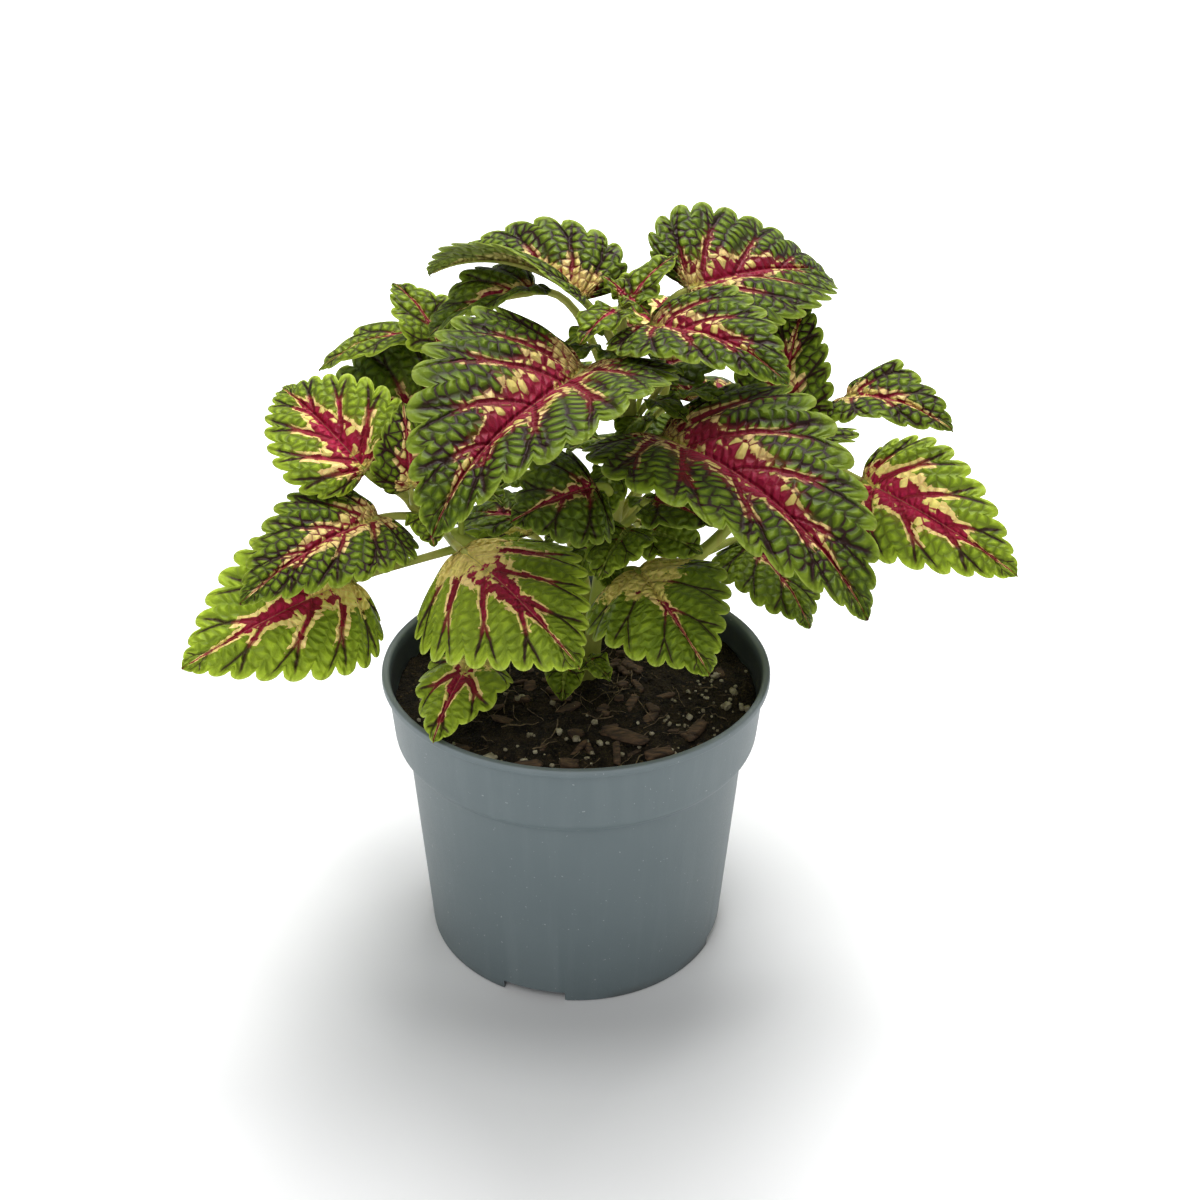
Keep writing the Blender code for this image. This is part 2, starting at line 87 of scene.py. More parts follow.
ALL_ROUND, FRONT, RIGHT = (0, 360), (-120, -50), (-40, 10)  # turns about the axis, in degrees

# blades and stalks
STALK, SMALL_LEAF, SMALL_STALK, STALK_TAPER, STALK_REACH = 1.15, 30.0, 0.7, 0.25, 0.35
STALK_STEPS, RIB_STEPS, RIB_END, RIB_TAPER = 12, 16, 0.96, 0.85
STALK_FLARE, STALK_SINK, RIB_SIZE = 0.25, 0.5, 0.8
STEM_SWELL, SWELL_REACH, STEM_SIZE = 0.10, 0.02, 0.86
STEM_SLOT = 1  # the stem's place among a leaf's materials
TOOTH, TOOTH_SHAPE, TOOTH_MIDDLE, TOOTH_DEPTH = 0.13, 0.55, 0.7, 4
SMALL_TOOTH = TOOTH / 4
RIPPLE, RIPPLES, RIPPLE_SHIFT = 1.2, 3.5, 0.31
ROWS_PER_VEIN, RING_SPACING, LEAST_RINGS = 16, 1.3, 7
BLADE, MARGIN = 0.34, 0.12
PUCKER, GROOVE, RIDGE, EDGE_CURL = 1.3, 0.28, 0.35, 0.7
GROOVE_WIDTH, RIDGE_WIDTH = 0.9, 0.8
FULL_WIDTH = 45  # narrower leaves have less relief
VEIN_ARCH = 1.18
BLADE_STEP = 0.01  # between the two places that give a slope
SAME_PLACE = 0.02  # points closer than this are one
LEAF_BLOCK = 40  # keeps the side veins' numbers of different leaves apart
SIDES, STEM_SIDES, STEM_SQUARE, STEM_STEPS = 10, 16, 0.16, 14
ROUND_MEAN = 0.64  # mean of |cos| round a turn

OUTLINE = (  # along, across in widths, foot of the side vein
    (0, 0, 0), (-0.05, 0.11, 0), (-0.07, 0.24, 0), (-0.02, 0.38, 0),
    (0.09, 0.475, 0.01), (0.23, 0.50, 0.03), (0.38, 0.465, 0.08), (0.53, 0.395, 0.17),
    (0.68, 0.30, 0.31), (0.80, 0.205, 0.47), (0.90, 0.115, 0.66), (0.965, 0.055, 0.83),
    (1, 0, 1),
)


class Stem(NamedTuple):
    """A stem through points, with its half thickness at both ends."""

    piece: str
    points: tuple
    thick: tuple


STEMS = {
    "main": Stem("stem", ((3, 4, 48), (4, 3, 88), (7, 2, 115), (11, 1, 145), (15, 0, 172),
                          (13, 1, 198)), (3.9, 2.2)),
    "left": Stem("stem", ((5, 3, 98), (-10, 8, 114), (-28, 10, 128), (-44, 6, 140),
                          (-51, 1, 152)), (2.6, 1.7)),
    "right": Stem("stem", ((6, 2, 104), (22, 3, 117), (38, 3, 131), (54, 8, 147),
                           (68, 16, 164)), (2.6, 1.7)),
    "back": Stem("stem", ((5, 3, 104), (0, 16, 124), (-12, 28, 150), (-24, 36, 172)), (2.6, 1.7)),
    "back_right": Stem("stem", ((8, 2, 118), (16, 16, 136), (24, 30, 156), (28, 40, 172)),
                       (2.4, 1.6)),
    "crown": Stem("shoot_crown", ((13, 1, 198.3), (12.6, 1, 204), (12.4, 0, 209)), (2.0, 1.0)),
    "foot": Stem("shoot_foot", ((4, 3, 94), (1, -8, 99), (-2, -16, 106)), (1.6, 1.0)),
    "inner": Stem("shoot_inner", ((10, 1, 138), (16, -6, 146), (20, -10, 154)), (1.6, 1.0)),
}


class Look(NamedTuple):
    """How a blade is coloured. The reaches are shares of the way from the midrib to the edge."""

    red: float  # reach of the magenta round the midrib
    red_veins: float  # how much further it goes along the side veins
    cream: float  # tenths of the way that the cream goes on from there
    patch: float  # length of the cream patch at the base
    net: float  # strength of the dark net
    band: float  # strength of the dark bands along the side veins
    vein: float  # how much wider than 0.35 mm the side veins start
    lime: float  # yellow-green against deep green
    # painted light: the blade's brightness, above 1 on lit outer leaves and below 1 on the shaded
    # inner ones
    painted_light: float = 1.0


LOOKS = {
    "bright": Look(0.32, 0.30, 1.0, 0.17, 1.0, 0.95, 1.4, 0.05),
    "crown": Look(0.22, 0.30, 0.9, 0.14, 1.0, 0.95, 0.9, 0.05, 1.15),
    "rosy": Look(0.32, 0.26, 1.2, 0.12, 0.40, 0.9, 1.3, 0.55, 1.5),
    "netted": Look(0.12, 0.22, 2.0, 0.18, 1.0, 0.9, 0.6, 0.2, 1.15),
    "fresh": Look(0.22, 0.38, 0.9, 0.30, 0.12, 0.9, 1.4, 0.6, 1.25),
    "sunny": Look(0.24, 0.30, 1.3, 0.26, 0.16, 0.8, 1.4, 0.6, 1.6),
    "creamy": Look(0.09, 0.12, 0.8, 0.42, 0.12, 0.7, 0.5, 0.2, 1.1),
    "leafy": Look(0.07, 0.10, 0.9, 0.0, 0.25, 0.6, 0.5, 0.25, 1.0),
    "dusky": Look(0.14, 0.12, 0.7, 0.0, 0.35, 0.6, 0.7, 0.0, 0.8),
    "young": Look(0.05, 0.06, 0.6, 0.0, 0.6, 0.7, 0.5, 0.45, 1.3),
    "plain": Look(0.0, 0.0, 0.0, 0.0, 0.08, 0.1, 0.2, 0.2, 1.0),
}


class Leaf(NamedTuple):
    """A leaf between the end of its stalk and its tip."""

    name: str
    stem: str
    up: float  # share of the way up the stem where the stalk starts
    base: tuple
    tip: tuple
    width: float
    look: str = "bright"
    roll: float = 0.0
    fold: float = -21.0  # slope of the halves beside the midrib, negative for a trough
    sag: float = 26.0  # how much further they bend down towards the edge
    rise: float = 18.0
    droop: float = 22.0
    lobes: int = 8

    @property
    def veins(self):
        """Side veins on each half, each of which forks into two teeth."""
        return max(3, self.lobes - 2)


LEAVES = (
    Leaf("leaf_crown_back_right", "main", 0.93, (31, 8, 210), (78, 50, 201), 50, "crown",
         roll=28, fold=-26, lobes=9),
    Leaf("leaf_crown_front_right", "main", 0.97, (20, -6, 204), (53, -45, 201), 37, "crown",
         roll=18, fold=-22, droop=35, lobes=9),
    Leaf("leaf_crown_back_left", "main", 0.95, (2, 6, 208), (-44, 40, 205), 41, "netted",
         fold=-40, sag=20, rise=35, droop=30, lobes=9),
    Leaf("leaf_front_left", "main", 0.84, (2, -13, 194), (-34, -80, 176), 65, "bright",
         roll=-9, fold=-34, rise=12, droop=45, lobes=10),
    Leaf("leaf_front_right", "main", 0.70, (24, -10, 173), (72, -75, 151), 62, "bright",
         roll=11, fold=-28, rise=26, droop=40, lobes=10),
    Leaf("leaf_behind_crown", "main", 0.82, (-12, 18, 207), (-42, 8, 196), 36, "dusky", fold=-28),
    Leaf("leaf_far_right", "right", 0.95, (85, 8, 152), (122, -32, 141), 41, "rosy",
         roll=40, fold=-16, lobes=9),
    Leaf("leaf_right_upper", "right", 0.98, (79, 14, 176), (105, -10, 175), 28, "netted",
         roll=20, rise=30, droop=30, lobes=7),
    Leaf("leaf_right_upright", "right", 0.80, (60, 13, 170), (67, 27, 201), 30, "netted"),
    Leaf("leaf_low_right", "right", 0.50, (54, 17, 127), (70, -10, 112), 34, "leafy", fold=-5),
    Leaf("leaf_left_upper", "left", 0.97, (-60, -5, 161), (-89, 30, 173), 41, "rosy",
         roll=-25, fold=-28, lobes=9),
    Leaf("leaf_left_small", "left", 0.88, (-47, -8, 157), (-49, 0, 180), 22, "netted",
         fold=-5, lobes=6),
    Leaf("leaf_left_middle", "left", 0.79, (-57, -9, 148), (-89, -50, 142), 39, "netted",
         roll=-22, fold=-16, lobes=9),
    Leaf("leaf_left_young", "left", 0.74, (-43, -10, 149), (-40, -20, 144), 13, "young", lobes=5),
    Leaf("leaf_far_left", "left", 0.55, (-67, -6, 126), (-107, -50, 122), 49, "sunny",
         roll=-42, fold=-6, lobes=9),
    Leaf("leaf_low_front_left", "left", 0.68, (-32, -20, 143), (1, -66, 132), 57, "fresh",
         roll=22, fold=13, lobes=9),
    Leaf("leaf_left_shaded", "back", 0.48, (-45, 33, 163), (-82, 38, 161), 54, "dusky",
         roll=-32, fold=-37),
    Leaf("leaf_back_left_low", "back", 0.80, (-47, 42, 187), (-78, 32, 178), 28, "young",
         fold=-15, lobes=6),
    Leaf("leaf_back_left_upright", "back", 0.97, (-40, 26, 188), (-55, 42, 202), 24, "young",
         lobes=6),
    Leaf("leaf_back_middle", "back", 0.74, (-14, 50, 165), (-20, 94, 150), 50, "bright"),
    Leaf("leaf_back_left", "back", 0.64, (-40, 56, 147), (-62, 84, 134), 44, "fresh"),
    Leaf("leaf_back_high", "back_right", 0.95, (27, 50, 180), (32, 88, 184), 40, "rosy"),
    Leaf("leaf_back_right", "back_right", 0.75, (38, 52, 160), (66, 84, 148), 46, "bright"),
    Leaf("leaf_right_behind", "right", 0.75, (66, 38, 152), (82, 74, 138), 40, "netted"),
    Leaf("leaf_back_low_left", "main", 0.25, (-14, 38, 120), (-36, 80, 96), 44, "fresh"),
    Leaf("leaf_back_low_right", "main", 0.40, (20, 38, 124), (30, 84, 94), 46, "creamy"),
    Leaf("leaf_rim_front", "main", 0.36, (-30, -20, 108), (-40, -50, 98), 28, "fresh",
         fold=0, lobes=6),
    Leaf("leaf_low_front_right", "main", 0.45, (18, -9, 131), (36, -53, 122), 44, "creamy",
         roll=20, fold=1),
    Leaf("leaf_inner_front", "main", 0.60, (5, -16, 161), (-18, -27, 155), 34, "dusky",
         roll=-34, fold=-5, lobes=7),
    Leaf("leaf_inner_left", "main", 0.50, (-17, 10, 139), (-38, 25, 131), 25, "dusky",
         roll=-10, lobes=6),
    Leaf("leaf_inner_right", "main", 0.66, (22, 10, 158), (48, 22, 156), 34, "dusky",
         roll=20, lobes=6),
    Leaf("leaf_inner_upper", "main", 0.76, (25, 14, 185), (48, 21, 188), 27, "dusky",
         roll=15, lobes=6),
    Leaf("leaf_inner_back", "main", 0.55, (5, 18, 158), (3, 37, 153), 26, "dusky", lobes=5),
    Leaf("leaf_inner_low", "main", 0.45, (15, -11, 145), (6, -25, 136), 22, "plain", lobes=6),
    Leaf("leaf_inner_low_right", "main", 0.52, (21, -4, 141), (37, -10, 137), 20, "plain",
         roll=25, lobes=5),
    Leaf("young", "crown", 0.8, (15, 0, 209), (28, 10, 219), 15, "netted", lobes=5),
    Leaf("young", "crown", 0.8, (11, -6, 208), (1, -19, 203), 15, "netted", lobes=5),
    Leaf("young", "crown", 0.95, (13, 1, 210), (7, 7, 214), 8, "young", lobes=4),
    Leaf("young", "crown", 0.95, (14, -1, 210), (20, -8, 207), 8, "young", lobes=4),
    Leaf("young", "foot", 0.9, (-3, -22, 106), (-4, -30, 99), 12, "plain", lobes=4),
    Leaf("young", "foot", 0.9, (3, -20, 107), (10, -27, 104), 11, "plain", lobes=4),
    Leaf("young", "inner", 0.9, (22, -13, 155), (39, -23, 152), 22, "dusky", roll=20, lobes=5),
)
SIDE_LEAVES = (  # stem, up, base, tip, width
    ("main", 0.62, (10, -2, 160), (9, -13, 149), 12),
    ("main", 0.55, (19, -2, 151), (26, -14, 148), 12),
    ("main", 0.72, (19, -2, 176), (11, -13, 172), 11),
    ("main", 0.76, (22, -2, 181), (31, -11, 178), 11),
    ("main", 0.86, (4, 4, 195), (-5, -7, 192), 10),
    ("main", 0.86, (9, 2, 194), (14, -9, 190), 9),
    ("main", 0.42, (5, -2, 136), (-1, -14, 126), 13),
    ("main", 0.40, (8, -1, 131), (13, -12, 122), 12),
    ("main", 0.66, (7, 4, 167), (-3, -2, 165), 9),
    ("main", 0.48, (0, 2, 142), (-9, -9, 139), 11),
    ("main", 0.58, (25, 4, 157), (32, -7, 152), 11),
    ("main", 0.50, (-5, 6, 147), (-15, -1, 143), 12),
    ("main", 0.80, (26, 2, 189), (17, -9, 184), 13),
    ("main", 0.76, (32, 0, 183), (41, -9, 183), 12),
    ("main", 0.74, (10, 0, 178), (2, -7, 175), 10),
    ("main", 0.78, (3, 4, 183), (-4, -5, 179), 10),
    ("main", 0.60, (-5, 2, 158), (-12, -8, 156), 12),
    ("main", 0.64, (23, 0, 168), (27, -13, 163), 12),
    ("main", 0.90, (6, 4, 200), (-4, 0, 195), 11),
    ("main", 0.54, (-15, 8, 155), (-24, 1, 151), 13),
    ("right", 0.72, (42, 6, 169), (48, -3, 163), 12),
    ("left", 0.60, (-31, 4, 154), (-21, -5, 150), 12),
    ("right", 0.85, (72, 10, 155), (65, 3, 148), 10),
)
LEAVES += tuple(Leaf("side", *row, "plain", lobes=5) for row in SIDE_LEAVES)


# curves
def smooth(points, share):
    """A point on a smooth curve through points."""
    points = [Vector(p) for p in points]
    place = min(max(share, 0.0), 1.0) * (len(points) - 1)
    k = min(int(place), len(points) - 2)
    f = place - k
    a, b = points[k], points[k + 1]
    before = points[k - 1] if k else a * 2 - b
    after = points[k + 2] if k + 2 < len(points) else b * 2 - a
    return 0.5 * (2 * a + (b - before) * f + (2 * before - 5 * a + 4 * b - after) * f * f
                  + (3 * a - 3 * b + after - before) * f ** 3)


def bezier(a, b, c, d, f):
    g = 1 - f
    return a * g ** 3 + b * (3 * g * g * f) + c * (3 * g * f * f) + d * f ** 3


def leaf_frame(leaf):
    """The rib's four handles, and the direction that the blade faces."""
    base, tip = Vector(leaf.base), Vector(leaf.tip)
    along = (tip - base).normalized()
    normal = (Vector((0, 0, 1)) - along * along.z).normalized()
    normal = Matrix.Rotation(radians(leaf.roll), 3, along) @ normal
    length = (tip - base).length
    start = along * cos(radians(leaf.rise)) + normal * sin(radians(leaf.rise))
    end = along * cos(radians(leaf.droop)) - normal * sin(radians(leaf.droop))
    return (base, base + start * length / 3, tip - end * length / 3, tip), normal


def held(point):
    """The point, kept inside the CAD model's box."""
    return [min(max(c, low), high) for c, low, high in zip(point, cad_low, cad_high)]


# shapes
def linked(name, data):
    """An object for the data, in the scene."""
    thing = bpy.data.objects.new(name, data)
    bpy.context.scene.collection.objects.link(thing)
    return thing


def mesh_from(name, shape):
    """A mesh from a bmesh, which is freed."""
    mesh = bpy.data.meshes.new(name)
    shape.to_mesh(mesh)
    shape.free()
    return mesh


class Shape:
    """The closed forms of one piece. Points are in millimetres.

    vein holds, at each face corner: the side veins counted from the base, the share of the way
    from rib to edge, and the distance between side veins, which is negative on the underside.
    flat holds the share of the way to the tip, the distance from the rib, and the row.
    """

    def __init__(self):
        self.points, self.faces, self.slots, self.vein, self.flat = [], [], [], [], []

    def add(self, point):
        self.points.append(Vector(point))
        return len(self.points) - 1

    def face(self, corners, slot=0, vein=None, flat=None):
        kept = [k for k, c in enumerate(corners) if c != corners[k - 1]]
        if len(kept) < 3 or len({corners[k] for k in kept}) < len(kept):
            return
        self.faces.append([corners[k] for k in kept])
        self.slots.append(slot)
        for k in kept:
            self.vein.extend(vein[k] if vein else (0, 0, 0))
            self.flat.extend(flat[k] if flat else (0, 0, 0))

    def make(self, name, materials):
        """The piece, smooth-shaded, on its body."""
        mesh = bpy.data.meshes.new(name)
        mesh.from_pydata([held(p * MM) for p in self.points], [], self.faces)
        for material in materials:
            mesh.materials.append(material)
        mesh.polygons.foreach_set("material_index", self.slots)
        mesh.polygons.foreach_set("use_smooth", [True] * len(self.faces))
        for key, values in (("vein", self.vein), ("flat", self.flat)):
            if any(values):
                layer = mesh.attributes.new(key, "FLOAT_VECTOR", "CORNER")
                layer.data.foreach_set("vector", values)
        mesh.update()
        thing = linked(name, mesh)
        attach(thing, "root")
        return thing


def add_tube(shape, path, radii, slot=0, sides=SIDES, square=0.0):
    """A closed tube along path. Square is how far its section goes from round to square."""
    count = len(path)
    headings = [(path[min(k + 1, count - 1)] - path[max(k - 1, 0)]).normalized()
                for k in range(count)]
    across = headings[0].orthogonal().normalized()
    rings = []
    for point, heading, radius in zip(path, headings, radii):
        across = (across - heading * across.dot(heading)).normalized()
        up = heading.cross(across)
        ring = []
        for k in range(sides):
            turn = 2 * pi * k / sides
            size = radius * (1 + square * (abs(cos(2 * turn)) - ROUND_MEAN))
            ring.append(shape.add(point + (across * cos(turn) + up * sin(turn)) * size))
        rings.append(ring)
    for a, b in zip(rings, rings[1:]):
        for k in range(sides):
            j = (k + 1) % sides
            shape.face((a[k], a[j], b[j], b[k]), slot)
    for ring, point, heading, radius, turn in (
            (rings[0], path[0], -headings[0], radii[0], -1),
            (rings[-1], path[-1], headings[-1], radii[-1], 1)):
        cap = shape.add(point + heading * radius * 0.6)
        for k in range(sides):
            corners = (ring[k], ring[(k + 1) % sides], cap)
            shape.face(corners[::turn], slot)


def blade_point(leaf, around, share, side):
    """A point of the blade's upper sheet, with its place on the flat blade.

    The row is a distance along the side veins that is level across them.
    """
    handles, normal = leaf_frame(leaf)
    length = (handles[3] - handles[0]).length
    edge = smooth(OUTLINE, around)
    foot = max(edge.z, 0.0)
    tooth = abs(sin(2 * pi * leaf.veins * around)) ** TOOTH_SHAPE
    depth = TOOTH if leaf.lobes > 4 else SMALL_TOOTH
    grow = 1 + depth * (tooth - TOOTH_MIDDLE) * min(1, 8 * around, 6 * (1 - around))
    grow = 1 + (grow - 1) * share ** TOOTH_DEPTH
    x = foot + share ** VEIN_ARCH * grow * (edge.x - foot)
    across = share * grow * edge.y * leaf.width
    ahead, behind = min(max(x, 0) + BLADE_STEP, 1), max(min(x, 1) - BLADE_STEP, 0)
    heading = (bezier(*handles, ahead) - bezier(*handles, behind)).normalized()
    rib = bezier(*handles, max(x, 0)) + heading * min(x, 0) * length
    right = heading.cross(normal).normalized()
    above = right.cross(heading)
    slope = radians(leaf.fold + leaf.sag * share / 2)
    ripple = 2 * RIPPLE * share * across / leaf.width * sin(
        2 * pi * (RIPPLES * around + RIPPLE_SHIFT * side))
    size = min(1.0, leaf.width / FULL_WIDTH)
    between = 0.5 + 0.5 * cos(2 * pi * leaf.veins * around)
    pucker = PUCKER * size * between * sin(pi * share ** 0.8) * min(1, 5 * (1 - around))
    curl = EDGE_CURL * size * share ** 5 * (0.6 + sin(pi * leaf.veins * around + 2 * side))
    groove = GROOVE * size * exp(-(across / GROOVE_WIDTH) ** 2) * min(1, 4 * (1 - max(x, 0)))
    lift = ripple + pucker - curl - groove - across * sin(slope)
    point = rib + right * side * across * cos(slope) + above * lift
    vein = Vector(((edge.x - foot) * length, edge.y * leaf.width))
    reach = share * vein.length
    row = reach + foot * length * vein.x / max(vein.length, 0.01)
    return point, max(x, 0.0), reach, row


def vein_spacing(leaf, around, share):
    """The distance between neighbouring side veins on the flat blade."""
    length = (Vector(leaf.tip) - Vector(leaf.base)).length

    def flat(f):
        edge = smooth(OUTLINE, f)
        foot = max(edge.z, 0.0)
        return Vector(((foot + share * (edge.x - foot)) * length, share * edge.y * leaf.width))

    low, high = max(around - BLADE_STEP, 0), min(around + BLADE_STEP, 1)
    return (flat(high) - flat(low)).length / (high - low) / leaf.veins


def add_sheet(shape, quads):
    """Faces from quads of corners: a point's number, its vein and its flat place."""
    first = len(shape.faces)
    for quad in quads:
        points, veins, flats = zip(*quad)
        shape.face(points, 0, veins, flats)
    return shape.faces[first:]


def add_blade(shape, leaf, index):
    """A thin closed blade: lobed edge, puckers between the side veins, ridges underneath."""
    rows = leaf.veins * ROWS_PER_VEIN
    rings = max(LEAST_RINGS, round(leaf.width / 2 / RING_SPACING))
    places, tops, corners = {}, [], []
    margin = set()
    for side in (-1, 1):
        grid = []
        for row in range(rows + 1):
            around = row / rows
            line = []
            for ring in range(rings + 1):
                share = ring / rings
                point, along, reach, level = blade_point(leaf, around, share, side)
                key = tuple(round(c / SAME_PLACE) for c in point)
                if key not in places:
                    places[key] = shape.add(point)
                    tops.append(places[key])
                count = around * leaf.veins + LEAF_BLOCK * (index + (side > 0) / 2)
                vein = (count, share, vein_spacing(leaf, around, share))
                line.append((places[key], vein, (along, reach, level)))
            grid.append(line)
            margin.add(line[-1][0])
        for a, b in zip(grid, grid[1:]):
            for k in range(rings):
                quad = (a[k], b[k], b[k + 1], a[k + 1])
                corners.append(quad if side < 0 else quad[::-1])
    upper = add_sheet(shape, corners)
    normals = {}
    for face in upper:
        a, b, c = (shape.points[k] for k in face[:3])
        tilt = (b - a).cross(shape.points[face[-1]] - a)
        for k in face:
            normals[k] = normals.get(k, Vector()) + tilt
    info = {c[0]: c for quad in corners for c in quad}
    size = min(1.0, leaf.width / FULL_WIDTH)
    lower = {}
    for k in tops:
        if k not in normals:
            continue
        (count, share, spacing), (_, reach, _) = info[k][1], info[k][2]
        off_vein = abs(count % 1 - 0.5) * spacing
        near = exp(-(off_vein / RIDGE_WIDTH) ** 2)
        ridge = RIDGE * size * (1 - share) * near * min(1, reach / 3)
        thick = MARGIN if k in margin else BLADE + ridge
        lower[k] = shape.add(shape.points[k] - normals[k].normalized() * thick)
    add_sheet(shape, [[(lower.get(k, k), (count, share, -spacing), flat)
                       for k, (count, share, spacing), flat in quad[::-1]] for quad in corners])
    edges = {(a, b) for face in upper for a, b in zip(face, face[1:] + face[:1])}
    add_sheet(shape, [(info[b], info[a], (lower[a], *info[a][1:]), (lower[b], *info[b][1:]))
                      for a, b in sorted(edges)
                      if (b, a) not in edges and a in lower and b in lower])


def add_stalk(shape, leaf):
    """A stalk from the stem to the blade, which runs on under it as the midrib."""
    handles, normal = leaf_frame(leaf)
    foot = smooth(STEMS[leaf.stem].points, leaf.up)
    reach = (handles[0] - foot).length
    heading = (handles[1] - handles[0]).normalized()
    size = STALK * (SMALL_STALK if leaf.width < SMALL_LEAF else 1)
    sink = normal * STALK_SINK * size
    start = foot.lerp(handles[0], STALK_REACH)
    end = handles[0] - heading * reach * STALK_REACH
    path, radii = [], []
    for k in range(STALK_STEPS + 1):
        f = k / STALK_STEPS
        path.append(bezier(foot, start, end, handles[0], f) - sink * f)
        radii.append(size * (1 + STALK_TAPER * (1 - f) ** 2 + STALK_FLARE * (1 - f) ** 8))
    for k in range(1, RIB_STEPS + 1):
        f = k / RIB_STEPS * RIB_END
        radius = size * (1 - RIB_TAPER * f) * RIB_SIZE
        path.append(bezier(*handles, f) - normal * (radius + GROOVE))
        radii.append(radius)
    add_tube(shape, path, radii, STEM_SLOT)


def add_stem(shape, name, slot=0):
    """A square stem, a little thicker at each pair of leaves."""
    stem = STEMS[name]
    joints = [leaf.up for leaf in LEAVES if leaf.stem == name]
    count = STEM_STEPS * (len(stem.points) - 1)
    path, radii = [], []
    for k in range(count + 1):
        f = k / count
        swell = sum(exp(-((f - up) / SWELL_REACH) ** 2) for up in joints)
        path.append(smooth(stem.points, f))
        radii.append((stem.thick[0] + (stem.thick[1] - stem.thick[0]) * f)
                     * (STEM_SIZE + STEM_SWELL * min(swell, 1)))
    add_tube(shape, path, radii, slot, STEM_SIDES, STEM_SQUARE)


# materials
class Nodes:
    """Builds a material's nodes: each call adds one and returns its first output."""

    def __init__(self, name):
        self.material = bpy.data.materials.new(name)
        self.material.use_nodes = True
        self.tree = self.material.node_tree
        self.tree.nodes.clear()

    def add(self, kind, inputs=(), output=0, **settings):
        node = self.tree.nodes.new("ShaderNode" + kind)
        for key, value in settings.items():
            setattr(node, key, value)
        for key, value in dict(inputs).items():
            if isinstance(value, bpy.types.NodeSocket):
                self.tree.links.new(value, node.inputs[key])
            elif value is not None:
                node.inputs[key].default_value = value
        return node.outputs[output] if node.outputs else node

    def place(self):
        """The place on the part, in metres."""
        return self.add("TexCoord", output=3)

    def axes(self, vector):
        return self.add("SeparateXYZ", {0: vector}).node.outputs

    def stretched(self, scale):
        """The place on the part, stretched along each axis."""
        return self.add("Mapping", {0: self.place(), 3: scale})

    def math(self, operation, a, b=None, c=None):
        return self.add("Math", {0: a, 1: b, 2: c}, operation=operation)

    def less(self, a, b):
        return self.math("SUBTRACT", a, b)

    def ratio(self, a, b):
        return self.math("DIVIDE", a, b)

    def times(self, first, *others):
        for other in others:
            first = self.math("MULTIPLY", first, other)
        return first

    def scaled(self, a, factor, start=0.0):
        """start + a * factor"""
        return self.math("MULTIPLY_ADD", a, factor, start)

    def step(self, value, low, high):
        """0 below low and 1 above high, with a smooth turn. Low may be above high."""
        return self.add("MapRange", {0: value, 1: low, 2: high, 3: 0.0, 4: 1.0},
                        interpolation_type="SMOOTHSTEP")

    def mix(self, share, a, b):
        def colour(value):
            return (*value, 1) if isinstance(value, tuple) and len(value) == 3 else value

        return self.add("Mix", {0: share, 6: colour(a), 7: colour(b)}, 2, data_type="RGBA")

    def noise(self, place, scale, detail, roughness=0.55):
        return self.add("TexNoise", {"Vector": place, "Scale": scale, "Detail": detail,
                                     "Roughness": roughness})

    def bump(self, height, distance, strength=1.0):
        return self.add("Bump", {"Height": height, "Distance": distance, "Strength": strength})

    def surface(self, **inputs):
        shader = self.add("BsdfPrincipled", {key.replace("_", " "): value
                                             for key, value in inputs.items()})
        self.add("OutputMaterial", {"Surface": shader})
        return self.material


MAGENTA, CRIMSON = (0.34, 0.012, 0.048), (0.17, 0.010, 0.014)
CREAM, YELLOW = (0.86, 0.62, 0.25), (0.66, 0.60, 0.12)
LIME, GREEN, DEEP = (0.31, 0.41, 0.025), (0.12, 0.185, 0.008), (0.030, 0.055, 0.002)
NET, UNDERSIDE, RIM = (0.022, 0.005, 0.004), (0.24, 0.30, 0.06), (0.44, 0.52, 0.10)
PALE_RIB, GREEN_RIB = (0.34, 0.20, 0.09), (0.26, 0.33, 0.05)

# Noise, in lumps per metre
BROAD, FINE, CREAM_EDGE, NET_FADE, SKIN = 70, 420, 55, 160, 2200
CELLS_PER_VEIN, CELL_LENGTH, CELL_LOOSENESS = 2.9, 2.7, 0.6
VEIN_END, FORK, WANDER, SHIVER = 0.35, 0.6, 0.18, 0.07
BLADE_RELIEF, BLADE_GLOSS = 0.0010, 0.16


